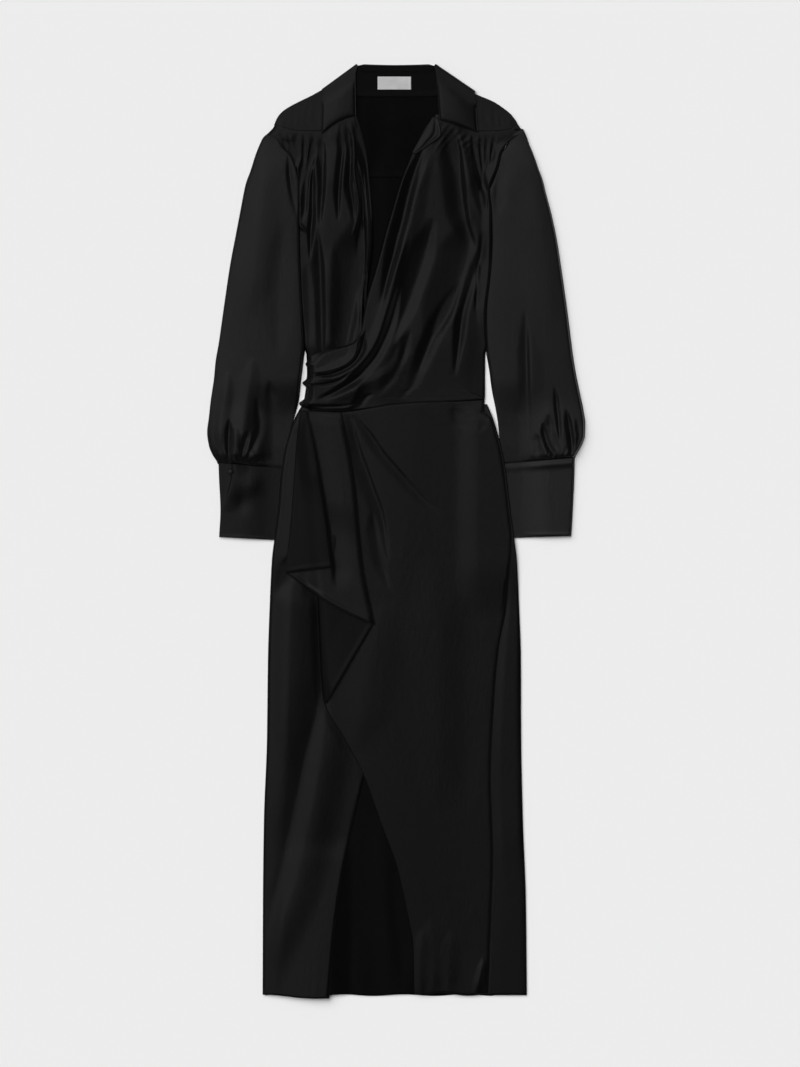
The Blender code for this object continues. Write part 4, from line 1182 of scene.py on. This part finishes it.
def skirt_rows():
    """Rows of the over-skirt, as places 0 to 1 down its table."""
    rows = [0.0]
    last = len(SKIRT_ROWS) - 1
    for k in range(last):
        drop = max(a - b for a, b in zip(SKIRT_ROWS[k], SKIRT_ROWS[k + 1]))
        count = math.ceil(drop / (FINE_STEP if k < FOLD_ROWS else COARSE_STEP))
        rows += [(k + j / count) / last for j in range(1, count + 1)]
    return np.array(rows)


ALL_ROWS = skirt_rows()
FOLD_END = FOLD_ROWS / (len(SKIRT_ROWS) - 1)
CASCADE_ROWS = ALL_ROWS[ALL_ROWS <= FOLD_END + 1e-9]
mesh = bmesh.new()
panel_columns = spread((0.5, 68), (0.97, 42), (1, 4))
add_sheet(mesh, panel_columns, ALL_ROWS, over_skirt_place, (300, 885))
print("over-skirt panel:", len(mesh.faces), "faces, cascade rows:", len(CASCADE_ROWS))

# %% [markdown]
# The cascade's section is a ribbon folded three times: under the first fold its reverse faces up,
# past the second its right side does, and past the third its end lies on top with its hem showing.

# %% How tightly the cascade is folded
TIGHT_FOLD, LOOSE_FOLD = 2.2, 3.8  # from layer to layer at the waist and at the lower end
UNDER_STEPS, FRONT_STEPS = 14, 34  # faces across its first layer and across the one in front
BELOW_THIRD = 0.6  # clearance between the third fold and the cloth below it
PAST_FOLD = 26  # length over which the front sinks past the first fold


def turn_over(at, y, low, high, side, steps=6):
    """Points round a fold at x = at, from its lower layer to its upper one, bulging to side."""
    radius = (high - low) / 2
    points = []
    for step in range(steps + 1):
        angle = math.pi * step / steps
        out = side * radius * (math.sin(angle) - 1)
        points.append((at + out, y, low + radius * (1 - math.cos(angle))))
    return points


def between(a, b, s):
    return tuple(p + (q - p) * s for p, q in zip(a, b))


print("a turn of 2 mm:", [round(z, 2) for _, _, z in turn_over(0, 0, 0, 2, 1)])


# %% Points across the cascade, from the panel's edge to the free end
def cascade_line(v):
    """Points across the cascade at rows v, from the panel's edge to the free end."""
    start_x, start_y, start_z = over_skirt_place(np.zeros(v.shape), v)
    left_y = row_at(SKIRT_ROWS, v)[1]
    t = (SKIRT_ROWS[0][1] - left_y) / (SKIRT_ROWS[0][1] - SKIRT_ROWS[FOLD_ROWS][1])
    rise = TIGHT_FOLD + (LOOSE_FOLD - TIGHT_FOLD) * eased(t * 1.2)
    second_x, second_y = row_at(SECOND_FOLD, t)
    third_x, third_y = row_at(THIRD_FOLD, t)
    end_x, end_y = row_at(CASCADE_END, t)
    flap = start_z + rise
    lifted = flap + 2.5 * eased((t - 0.6) / 0.4)
    top = lifted + rise
    crown = eased(t / 0.12)
    hem_below = soft_bump(t, 0.988, 0.010)
    opening = 2.6 * eased((t - 0.4) / 0.2) + 1.6 * eased((t - 0.82) / 0.18)

    # Round the first fold, then across the reverse of the cloth to the second one
    line = [(start_x, start_y, start_z)]
    first = turn_over(start_x, start_y, start_z, flap, -1)[1:]
    line += [(x + rise / 2, y, z) for x, y, z in first]
    turn = turn_over(second_x, second_y, lifted, top, 1)
    under_from = line[-1]
    for k in range(1, UNDER_STEPS):
        far = k / UNDER_STEPS
        x, y, z = between(under_from, turn[0], far)
        line.append((x, y, z + math.sin(math.pi * far**0.4) * opening + hem_below))
    line += turn

    lowest = GROUND + 2 * LAYER + bed(third_x, third_y, 2) + BELOW_THIRD
    sloping = flap + rise * 0.95
    before_first = 1 - eased((start_x - third_x) / PAST_FOLD)
    under_third = lowest + (sloping - lowest) * before_first
    inner_x = third_x + rise / 2

    def front_height(x, s):
        """The front of the fold slopes down to its left and hangs past the first fold."""
        past = eased((start_x - x) / PAST_FOLD)
        return (top + (sloping - top) * s) * (1 - past) + under_third * past

    def rolled_off(x, y):
        """The top layer stands up beside its fold and beside the free end that lies on it."""
        (free_edge,) = at_height(CASCADE_END_DOWN, y)
        beside = x - free_edge
        groove = eased((beside - 0.3) / (2.4 + 2.4 * t)) - eased((beside - 5) / 30)
        groove = groove * (0.4 + 1.6 * t) * eased((y + 94) / 40)
        return crown * eased((second_x - x) / 7) * eased((x - third_x) / 20) - groove

    # Across the front to the third fold
    for k in range(1, FRONT_STEPS):
        s = k / FRONT_STEPS
        x = turn[-1][0] + (inner_x - turn[-1][0]) * s
        y = second_y + (third_y - second_y) * s - 7 * t * math.sin(math.pi * s)
        least = np.where(x > start_x - 6, flap + LAYER, 0)
        z = np.maximum(front_height(x, s), least) + rolled_off(x, y)
        line.append((x, y, z + hem_below))
    high = under_third + rise
    line += turn_over(third_x, third_y, under_third, high, -1)
    # Across the free end on top, to its hem
    for s in spread((0.88, 9), (1, 8))[1:]:
        x = inner_x + (end_x - inner_x) * s
        y = third_y + (end_y - third_y) * s
        down = np.clip((second_x - x) / np.maximum(second_x - third_x, 1), 0, 1)
        z = np.maximum(front_height(x, down) + rise, high) + rolled_off(x, y)
        z = z + 1.1 * soft_bump(s, 0.955, 0.03) + 2.8 * eased(s / 0.9) * eased(t / 0.3)
        line.append((x, y, z + hem_below))
    return line


ribbon = np.array([np.broadcast_arrays(*point) for point in cascade_line(CASCADE_ROWS)])
print("points across the cascade:", len(ribbon))

# %% Lay the cascade beside the panel
CASCADE_CUT = 320  # its width before it is folded
ribbon = ribbon[::-1]  # its last column is the panel's own left edge


def cascade_place(u, v):
    column = np.rint(u * (len(ribbon) - 1)).astype(int) + len(ribbon) - 1
    row = np.searchsorted(CASCADE_ROWS, v - 1e-9)
    return ribbon[column, 0, row], ribbon[column, 1, row], ribbon[column, 2, row]


add_sheet(mesh, np.linspace(-1, 0, len(ribbon)), CASCADE_ROWS, cascade_place, (CASCADE_CUT, 885))
bmesh.ops.remove_doubles(mesh, verts=mesh.verts, dist=MERGE)
over_skirt = lay("over_skirt_cloth", mesh)

# %% [markdown]
# ## The collar, its stand and the label
# The collar is one strip that rolls over at the sides of the neck and ends in two points. It is
# two layers of satin with a stiff one between them, so it is thicker than the rest, and a row of
# stitches 2 mm from its edge presses a fine groove into it.

# %% Rows of the collar: x, y on its neck side, x, y on its outer edge, height
LEFT_FALL = (
    (-59.5, 623, -112.5, 595.5, 8.8),
    (-59.8, 646.5, -112, 616.5, 8.2),
    (-60.2, 669, -111.5, 637.5, 7.2),
    (-60.4, 688, -111.2, 652, 6.2),
)
LEFT_ROLL_LINE = ((-59, 700), (-111, 662))  # the fold at the side of the neck
COLLAR_BEHIND = (
    (-48, 700, -98, 650, GROUND),
    (-25, 699.2, -55, 635, GROUND),
    (0, 698.8, 0, COLLAR_FALL_Y, GROUND),
    (26, 699.2, 58, 635, GROUND),
    (49, 700, 102, 650, GROUND),
)
RIGHT_ROLL_LINE = ((59, 700), (119, 659))
RIGHT_FALL = (
    (59.8, 688, 119.8, 648, 6.2),
    (61.5, 669, 121, 634, 7.2),
    (63, 646.5, 122, 616.5, 8.3),
    (65, 617, 123.5, 598, 8.8),
)
print("collar's points at", LEFT_FALL[0][:2], "and", RIGHT_FALL[-1][:2])


# %% Carry the collar round its folds at the sides of the neck
def roll_sections(line, low, high, rising, steps=10):
    """Sections round the collar's fold at the side of the neck, whose edge is the line."""
    inner, outer = [Vector((*point, 0)) for point in line]
    along = (outer - inner).normalized()
    out = Vector((along.y, -along.x, 0))
    if out.y < 0:
        out = -out
    radius = (high - low) / 2
    sections = []
    for step in range(steps + 1):
        angle = math.pi * step / steps
        shift = out * radius * (math.sin(angle) - 1)
        shift.z = low + radius * (1 + math.cos(angle))
        sections.append([*(inner + shift), *(outer + shift)])
    return sections[::-1] if rising else sections


def fall_sections(rows, places):
    """Sections along one fall at the places 0 to 1, as inner x, y, z and outer x, y, z."""
    a, b, c, d, z = row_at(rows, np.asarray(places))
    return [list(section) for section in zip(a, b, z, c, d, z)]


NEAR_EDGE = (0, 0.012, 0.024, 0.034, 0.044, 0.06)  # closer together where the stitches press in
along_fall = np.array([*NEAR_EDGE, *np.linspace(0.1, 0.97, 22)])
collar_top = LEFT_FALL[-1][4]
collar_sections = np.array(
    fall_sections(LEFT_FALL, along_fall)
    + roll_sections(LEFT_ROLL_LINE, GROUND, collar_top, False)
    + fall_sections(COLLAR_BEHIND, np.linspace(0, 1, 25))
    + roll_sections(RIGHT_ROLL_LINE, GROUND, collar_top, True)
    + fall_sections(RIGHT_FALL, 1 - along_fall[::-1])
)
print("sections of the collar:", len(collar_sections))

# %% Lay the collar
COLLAR_WALL = 1.3
COLLAR_LENGTH = 340  # along its middle, from point to point
LEFT_POINT_CURVE = 5  # how far the left point's lower edge curves up
STITCH_IN = 2.2  # from the collar's edge to its row of stitches


def collar_place(u, v):
    count = len(collar_sections) - 1
    ax, ay, az, bx, by, bz = collar_sections[np.rint(u * count).astype(int)].T
    x, y, z = ax + (bx - ax) * v, ay + (by - ay) * v, az + (bz - az) * v
    deep = np.hypot(bx - ax, by - ay)
    falling = eased((abs(u - 0.5) - 0.27) / 0.05)
    end = np.where(u < 0.5, u, 1 - u) * COLLAR_LENGTH
    from_edge = np.minimum(np.minimum(v * deep, (1 - v) * deep), end)
    groove = -0.5 * soft_bump(from_edge, STITCH_IN, 0.7)
    crown = 1.3 * np.sin(math.pi * v) * eased(end / 30)
    drooping = -0.5 * eased((6 - from_edge) / 6)
    y = y + np.where(u < 0.5, LEFT_POINT_CURVE, 0) * np.sin(math.pi * v) * (1 - eased(end / 40))
    leaning = -1.6 * v * (u > 0.5)
    return x, y, z + falling * (groove + crown + drooping + leaning)


mesh = bmesh.new()
along_collar = np.linspace(0, 1, len(collar_sections))
to_outer_edge = [0.94, 0.956, 0.966, 0.976, 0.988, 1]
across_collar = np.array([*NEAR_EDGE, *np.linspace(0.1, 0.9, 16), *to_outer_edge])
add_sheet(mesh, along_collar, across_collar, collar_place, (380, 64))
collar = lay("collar_cloth", mesh, (SATIN_PAINTED_LIGHT, SATIN), wall=COLLAR_WALL)

# %% Lay the collar stand, with the ridge along its edge
COLLAR_STAND = (
    (-52, 698.8, 53.5, 698.8, 1.3),
    (-65, 688.5, 66.5, 688.5, 13),
    (-76.5, 674.8, 76.5, 674.8, 24),
)


def stand_place(u, v):
    x, y, _ = section_place(COLLAR_STAND, u, v)
    edge = 0.35 * soft_bump(v, 0.16, 0.06) + 0.8 * eased((v - 0.8) / 0.16)
    return x, y, GROUND + bed(x, y) + edge


mesh = bmesh.new()
add_sheet(mesh, spread((1, 90)), spread((0.3, 14), (0.85, 12), (1, 8)), stand_place, (128, 26))
# Its reverse faces up, with painted shade
collar_stand = lay("collar_stand_cloth", mesh, FACE_DOWN)

# %% Lay the blank label
LABEL_SIZE = (50, 19.4)
LABEL_MIDDLE = (-2.5, 671.5)
LABEL_RISE = 1.1  # over the stand that it is sewn to


def label_place(u, v):
    x = LABEL_MIDDLE[0] + (u - 0.5) * LABEL_SIZE[0]
    y = LABEL_MIDDLE[1] + (0.5 - v) * LABEL_SIZE[1]
    turned_ends = 0.25 * (soft_bump(u, 0.03, 0.02) + soft_bump(u, 0.97, 0.02))
    return x, y, GROUND + LAYER + LABEL_RISE + 0.5 * np.sin(math.pi * u) ** 2 + turned_ends


mesh = bmesh.new()
add_sheet(mesh, spread((0.08, 8), (0.92, 26), (1, 8)), spread((1, 20)), label_place, LABEL_SIZE)
neck_label = lay("neck_label_cloth", mesh, (LABEL, LABEL), wall=0.5)

# %% [markdown]
# ## The sleeves
# Each sleeve is a tube pressed flat, gathered into its cuff. Its lower wall lies on the floor and
# its upper wall stands a little over it, smooth at the shoulder and puckered above the cuff.

# %% Rows of the sleeves: left x, left y, right x, right y
LEFT_SLEEVE = (
    (-195, 594, -184, 592),
    (-199.5, 589, -177, 587.5),
    (-205, 577.5, -170.5, 576),
    (-210, 565, -158.5, 564),
    (-218, 540, -147.5, 539),
    (-225, 520.5, -144, 520.5),
    (-234, 475.5, -144.5, 475.5),
    (-240, 444, -144, 444),
    (-248, 402, -143, 402),
    (-255.5, 352.5, -140.5, 352.5),
    (-266, 279, -136.8, 279),
    (-270, 256.5, -139, 256.5),
    (-273, 226.5, -142.5, 226.5),
    (-277.5, 196.5, -146, 196.5),
    (-280.5, 169.5, -153, 169.5),
    (-283, 148.5, -158.5, 145.5),
    (-280.5, 129, -160.5, 126),
    (-274.5, 114, -160.5, 108),
    (-267, 103, -157.5, 94),
)
RIGHT_SLEEVE = (
    (184, 602, 190.5, 602.5),
    (172.5, 592.5, 195.5, 591.5),
    (167.5, 580, 199.5, 580),
    (157, 565.5, 205.5, 565.5),
    (152.5, 546, 213, 544.5),
    (144, 523.5, 220, 525),
    (138.5, 508.5, 224, 508.5),
    (141.5, 478.5, 232, 478.5),
    (142.5, 436.5, 241, 436.5),
    (140.5, 397.5, 247, 397.5),
    (133.5, 327, 257, 327),
    (135.5, 271.5, 264, 271.5),
    (140, 241.5, 268.5, 241.5),
    (144, 211.5, 274.5, 211.5),
    (150, 181.5, 280.5, 183),
    (153.5, 159, 283.5, 162),
    (155, 141, 283, 144),
    (156, 124.5, 277.5, 127.5),
    (157, 111, 271.5, 117),
    (157, 101, 268, 111),
)
print("rows of the sleeves:", len(LEFT_SLEEVE), "and", len(RIGHT_SLEEVE))

# %% Creases of the sleeves: points x, y down the crease, width on its left, on its right, height
LEFT_SLEEVE_CREASES = (
    (((-161, 566), (-158, 523), (-147, 468)), 3, 3.5, -2.6),
    (((-250, 168), (-251, 140), (-251, 104)), 3, 3.5, -3.2),
    (((-221, 150), (-226, 132), (-231, 110)), 3.2, 3.2, -3.0),
    (((-209, 200), (-204, 156), (-214, 128), (-224, 108)), 4, 5, -3.4),
    (((-190, 224), (-185, 190), (-181, 150)), 5, 6, -2.4),
    (((-251, 240), (-262, 168), (-266, 118)), 6, 7, 2.4),
    (((-240, 158), (-240, 130), (-241, 102)), 4, 4, 1.8),
    (((-222, 104), (-198, 118), (-172, 104)), 4, 5, 2.4),
    (((-214, 260), (-226, 180), (-232, 130)), 9, 9, 1.4),
    (((-196, 540), (-206, 440), (-222, 320)), 16, 18, 1.4),
    (((-170, 460), (-176, 340), (-176, 260)), 12, 14, -1.2),
)
RIGHT_SLEEVE_CREASES = (
    (((194, 330), (196, 241), (197, 181), (198, 134), (200, 108)), 7, 3.2, -1.9),
    (((200, 300), (202, 220), (203, 150)), 2.6, 10, 0.9),
    (((220, 162), (223, 142), (231, 122), (248, 104)), 3.4, 4, -3.6),
    (((230, 176), (232, 150), (238, 132), (247, 108)), 7, 5, -2.4),
    (((238, 216), (240, 196), (242, 175), (246, 130)), 2, 3, -2.6),
    (((256, 182), (261, 152), (264, 128), (262, 104)), 4, 2.6, -4.6),
    (((270, 168), (275, 142), (268, 114)), 3, 3, -3.0),
    (((210, 146), (212, 128), (216, 106)), 5, 5, -2.0),
    (((160, 560), (152, 520), (150, 470)), 4, 8, -1.6),
    (((206, 520), (222, 420), (236, 300)), 22, 12, 0.8),
)


# %% Press a tube flat
LOWER_END, TURN_ROUND = 0.2, 0.06  # shares of a tube's cut in its lower wall and in each turn
UPPER_START, UPPER_END = LOWER_END + TURN_ROUND, 1 - TURN_ROUND
HIP_COVER = 182  # from the middle of the dress, how far the hips cover sleeves and cuffs


def clear_of_hip(x, y):
    """0 where the hip covers a sleeve or cuff, 1 clear of it."""
    near_hip = 1 - eased((y - 170) / 60)
    return 1 - near_hip * (1 - eased((abs(x) - HIP_COVER) / 50))


def tube_place(sections, upper):
    """u goes round a flattened tube: along its lower wall, right turn, upper wall and left turn."""

    def place(u, v):
        left_x, left_y, right_x, right_y = row_at(sections, v)
        ends = [upper(x, y, 0 * v + s) for x, y, s in ((left_x, left_y, 0), (right_x, right_y, 1))]
        radius = [(end - GROUND) / 2 for end in ends]
        inset = np.maximum(*radius)
        on_upper = np.clip(1 - (u - UPPER_START) / (UPPER_END - UPPER_START), 0, 1)
        s = np.where(u <= LOWER_END, u / LOWER_END, on_upper)
        x = left_x + inset + (right_x - left_x - 2 * inset) * s
        y = left_y + (right_y - left_y) * s
        right_turn, left_turn = (u > LOWER_END) & (u < UPPER_START), u > UPPER_END
        turned = np.where(right_turn, u - LOWER_END, u - UPPER_END) / TURN_ROUND
        angle = turned * math.pi
        x = np.where(right_turn, x + radius[1] * np.sin(angle), x)
        x = np.where(left_turn, x - radius[0] * np.sin(angle), x)
        z = np.where(u <= LOWER_END, GROUND, upper(x, y, s))
        z = np.where(right_turn, GROUND + radius[1] * (1 - np.cos(angle)), z)
        z = np.where(left_turn, GROUND + radius[0] * (1 + np.cos(angle)), z)
        return x, y, z

    return place


def add_tube(mesh, rows, place, flat, over=84):
    """A tube with that many faces across its upper wall, closed along its left turn."""
    around = spread((LOWER_END, 16), (UPPER_START, 7), (UPPER_END, over), (1, 7))
    add_sheet(mesh, around, rows, place, flat)
    bmesh.ops.remove_doubles(mesh, verts=mesh.verts, dist=MERGE)
    bmesh.ops.recalc_face_normals(mesh, faces=mesh.faces)


print("upper wall from", round(UPPER_START, 2), "to", UPPER_END, "round the tube")

# %% How a sleeve stands over the floor
SLEEVE_EDGE = 1.6  # height of a sleeve's upper wall at its seams, under the bodice's edge
CUFF_TOP = 2.2  # height of a cuff's upper wall at its seams
FULLNESS = 5.0  # of a sleeve in its middle
CUFF_TUCK = 2.4  # how far a sleeve goes into its cuff


def into_cuff(place):
    """The last few millimetres of a sleeve, tucked inside its cuff."""

    def tucked(u, v):
        x, y, z = place(u, v)
        end = eased((v - 0.985) / 0.015)
        return x, y - CUFF_TUCK * end, z + (np.minimum(z, SLEEVE_EDGE) - z) * end

    return tucked


def sleeve_top(creases, start, rounded, tilt):
    """rounded is how softly its left side rises, and tilt how much higher its right side lies."""

    def height(x, y, s):
        across = np.sin(math.pi * np.clip(s, 0, 1))
        full = FULLNESS * across ** (rounded + (0.10 - rounded) * eased(s)) + tilt * (s - 0.5)
        near_cuff = 1 + 0.5 * eased((200 - y) / 60) - 0.8 * eased((116 - y) / 14)
        near_shoulder = 1 - 0.4 * eased((y - 540) / 50)
        inside = np.sin(math.pi * np.clip(s, 0.001, 0.999)) ** 0.5
        puckers = 1.2 * uneven(s, 12, start) * eased((132 - y) / 24)
        body = full * near_cuff * near_shoulder + (creased(creases, x, y) + puckers) * inside
        low = SLEEVE_EDGE + (CUFF_TOP - SLEEVE_EDGE) * eased((160 - y) / 40)
        ends = eased(s / 0.02) * eased((1 - s) / 0.02)
        return low + above_floor(body, 0.5) * clear_of_hip(x, y) * ends

    return height


plain_sleeve = sleeve_top((), start=0.3, rounded=0.32, tilt=3.2)
middle_height = plain_sleeve(np.array([-200.0]), np.array([400.0]), 0.5)
print("a sleeve's height at its middle:", middle_height.round(2), "mm")

# %% Lay the sleeves
# The sleeves wear the glossier satin: painted highlight
for side, sections, creases, start, rounded, tilt in (
    ("left", LEFT_SLEEVE, LEFT_SLEEVE_CREASES, 0.3, 0.32, 3.2),
    ("right", RIGHT_SLEEVE, RIGHT_SLEEVE_CREASES, 1.9, 0.12, 4.2),
):
    mesh = bmesh.new()
    place = into_cuff(tube_place(sections, sleeve_top(creases, start, rounded, tilt)))
    add_tube(mesh, spread((0.5, 60), (0.97, 92), (1, 8)), place, (250, 495))
    lay(f"sleeve_{side}_cloth", mesh, FACE_UP_PAINTED_LIGHT)

# %% Rows of the cuffs: left x, left y, right x, right y
LEFT_CUFF = (
    (-266, 102.5, -CUFF_INNER, 92.5),
    (-265, 76.5, -CUFF_INNER, 72.5),
    (-263, 31.5, -CUFF_INNER, 28.5),
    (-265, -9, -CUFF_INNER, -15),
)
RIGHT_CUFF = (
    (CUFF_INNER, 100.5, 268, 110.5),
    (CUFF_INNER, 76.5, 267, 82),
    (CUFF_INNER, 31.5, 265, 34.5),
    (CUFF_INNER, -11, 262.5, -7.5),
)
# The left cuff's opening: its upper flap ends along this line
LEFT_LAP = ((-245, 106), (-246, 84), (-249, 69), (-256, 46), (-260, 30))
print("cuffs:", LEFT_CUFF[0][1] - LEFT_CUFF[-1][1], "and", RIGHT_CUFF[0][3] - RIGHT_CUFF[-1][3], "mm deep")

# %% How the upper walls of the cuffs stand
LAP_RISE = 1.9  # of the flap that the button holds
LEFT_EDGE_RISE, RIGHT_EDGE_RISE = 0.9, 0.8  # of the cuffs' free edges
BAND_RISE = 1.5  # of the right cuff where the sleeve is sewn in


def left_cuff_top(x, y, s):
    """A flap, a swelling and a hollow between them, and the turned edge."""
    signed, along = from_line(drawn_line(LEFT_LAP), np.asarray(x, float), np.asarray(y, float))
    lap = LAP_RISE * eased((signed + 0.9) / 1.4) * eased((26 - signed) / 24) * (1 - along**3)
    swelling = 2.4 * soft_bump(x, -214, 22) * soft_bump(y, 70, 16)
    hollow = 1.5 * soft_bump(x, -232, 12) * soft_bump(y, 40, 14)
    edge = LEFT_EDGE_RISE * soft_bump(y + (x + 265) * 0.05, -8, 2.2)
    soft = (1.6 + swelling - hollow) * np.sin(math.pi * s)
    return CUFF_TOP + (soft + lap + edge) * clear_of_hip(x, y)


def right_cuff_top(x, y, s):
    """It stands higher at its right side, with a band along the seam and a turned edge."""
    band = BAND_RISE * soft_bump(y - (x - 160) * 0.08, 94, 5.0)
    edge = RIGHT_EDGE_RISE * soft_bump(y, -5, 2.2)
    full = 1.5 * np.sin(math.pi * np.clip(s, 0, 1)) ** (0.25 - 0.15 * eased(s))
    clear = clear_of_hip(x, y)
    rolled = band * (0.35 + 0.65 * clear)
    return CUFF_TOP + ((full + 2.6 * s + edge) * clear + rolled) * eased((1 - s) / 0.012)


print("right cuff's middle:", round(float(right_cuff_top(220.0, 50.0, 0.5)), 2), "mm high")

# %% Lay the cuffs
# The right cuff's satin is the glossiest: painted highlight
for side, sections, top, face in (
    ("left", LEFT_CUFF, left_cuff_top, SATIN),
    ("right", RIGHT_CUFF, right_cuff_top, CUFF_SATIN_PAINTED_LIGHT),
):
    mesh = bmesh.new()
    add_tube(mesh, spread((0.94, 54), (1, 8)), tube_place(sections, top), (226, 108), over=76)
    lay(f"cuff_{side}_cloth", mesh, (face, REVERSE))

# %% Lay the covered button: a dome cut from a flattened ball
BUTTON_PLACE = (-247.5, 88.5)
BUTTON_DIAMETER = 10.5
BUTTON_HEIGHT = 0.44  # as a share of the ball's
BELOW_MIDDLE = 0.6  # where the ball is cut
BUTTON_RISE = 2.5  # of the ball's middle over the cuff's upper wall
mesh = bmesh.new()
bmesh.ops.create_uvsphere(mesh, u_segments=32, v_segments=20, radius=BUTTON_DIAMETER / 2 * MM)
bmesh.ops.bisect_plane(
    mesh,
    geom=mesh.verts[:] + mesh.edges[:] + mesh.faces[:],
    dist=1e-7,
    plane_co=Vector((0, 0, -BELOW_MIDDLE * MM)),
    plane_no=Vector((0, 0, -1)),
    clear_outer=True,
)
bmesh.ops.contextual_create(mesh, geom=[edge for edge in mesh.edges if edge.is_boundary])
bmesh.ops.scale(mesh, vec=Vector((1, 1, BUTTON_HEIGHT)), verts=mesh.verts)
button_middle = Vector((*BUTTON_PLACE, CUFF_TOP + BUTTON_RISE)) * MM
bmesh.ops.translate(mesh, vec=button_middle, verts=mesh.verts)
cut_layer = mesh.verts.layers.float_vector.new("cut_place")
for vert in mesh.verts:
    vert[cut_layer] = vert.co
lay("cuff_button_cloth", mesh, (CUFF_SATIN_PAINTED_LIGHT,), wall=None)

# %% [markdown]
# ## The cut of each sheet
# Every cloth piece's UV map is its cut laid flat, in metres, so it shows the size that it was cut to. A
# tube's cut runs all round it.

# %% [markdown]
# ## The room, the light and the camera
# The floor is pale and seamless. Two wide, soft lights come from the upper left: the satin mirrors
# the weak one, and the strong one is kept out of its gloss and lights the floor. The room is dim
# overhead and brighter towards the horizon, so that black cloth shows its form from the side too.
# The camera looks straight down from far enough that the dress shows almost no perspective.

# %% Floor
FLOOR_HALF = 6.0  # metres
FLOOR_DROP = 0.3 * MM  # below the dress
FLOOR_SHADE = 0.86
floor_mesh = bmesh.new()
bmesh.ops.create_grid(floor_mesh, x_segments=1, y_segments=1, size=FLOOR_HALF)
bmesh.ops.translate(floor_mesh, vec=Vector((0, 0, -FLOOR_DROP)), verts=floor_mesh.verts)
floor_data = bpy.data.meshes.new("floor")
floor_mesh.to_mesh(floor_data)
floor_mesh.free()
floor = bpy.data.objects.new("floor", floor_data)
bpy.context.scene.collection.objects.link(floor)
paper = bpy.data.materials.new("pale_paper")
paper.use_nodes = True
paper_shader = paper.node_tree.nodes["Principled BSDF"]
paper_shader.inputs["Base Color"].default_value = (FLOOR_SHADE, FLOOR_SHADE, FLOOR_SHADE, 1)
paper_shader.inputs["Roughness"].default_value = 0.9
paper_shader.inputs["Specular IOR Level"].default_value = 0.1
floor.data.materials.append(paper)
print("floor:", 2 * FLOOR_HALF, "m wide, shade", FLOOR_SHADE)


# %% Lights
def soft_light(name, towards, strength, spread_degrees, in_gloss=True):
    """Light from one side of the sky, as soft as its spread is wide."""
    data = bpy.data.lights.new(name, "SUN")
    data.energy = strength
    data.angle = math.radians(spread_degrees)
    obj = bpy.data.objects.new(name, data)
    obj.rotation_euler = Vector(towards).to_track_quat("-Z", "Y").to_euler()
    obj.visible_glossy = in_gloss
    bpy.context.scene.collection.objects.link(obj)
    print(name, strength, "spread", spread_degrees)


soft_light("main_light", (0.31, -0.33, -1.0), strength=0.5, spread_degrees=48)
soft_light("floor_light", (0.5, -0.5, -1.0), strength=2.96, spread_degrees=70, in_gloss=False)

# %% The room all round: dim above, brighter towards the horizon
OVERHEAD, HORIZON = 0.028, 0.40  # strengths
DIM_FROM, DIM_TO = 0.12, 0.50  # sines of the heights between which the room grows dim
world = bpy.data.worlds.new("studio")
bpy.context.scene.world = world
world.use_nodes = True
world_nodes, world_links = world.node_tree.nodes, world.node_tree.links
background = world_nodes["Background"]
background.inputs["Color"].default_value = (1, 1, 1, 1)
direction = world_nodes.new("ShaderNodeTexCoord")
upward = world_nodes.new("ShaderNodeSeparateXYZ")
by_height = number_node(
    world_nodes,
    "ShaderNodeMapRange",
    "By height",
    From_Min=DIM_FROM,
    From_Max=DIM_TO,
    To_Min=HORIZON,
    To_Max=OVERHEAD,
)
by_height.interpolation_type = "SMOOTHSTEP"
world_links.new(direction.outputs["Generated"], upward.inputs["Vector"])
world_links.new(upward.outputs["Z"], by_height.inputs["Value"])
world_links.new(by_height.outputs["Result"], background.inputs["Strength"])
bpy.context.scene.view_settings.view_transform = "Standard"
print("room:", OVERHEAD, "overhead,", HORIZON, "at the horizon")

# %% Camera
FRAME_HEIGHT = 1.6005  # of the floor that the picture shows, in metres
LENS, SENSOR = 170.0, 36.0
CAMERA_X, CAMERA_Y = 0.006, -0.00375  # beside the middle of the dress, in metres
camera_data = bpy.data.cameras.new("camera")
camera_data.lens = LENS
camera_data.sensor_fit = "VERTICAL"
camera_data.sensor_height = SENSOR
camera_data.clip_end = 50
camera = bpy.data.objects.new("camera", camera_data)
camera.location = (CAMERA_X, CAMERA_Y, FRAME_HEIGHT * LENS / SENSOR)
bpy.context.scene.collection.objects.link(camera)
bpy.context.scene.camera = camera
print("camera height:", round(camera.location.z, 3))
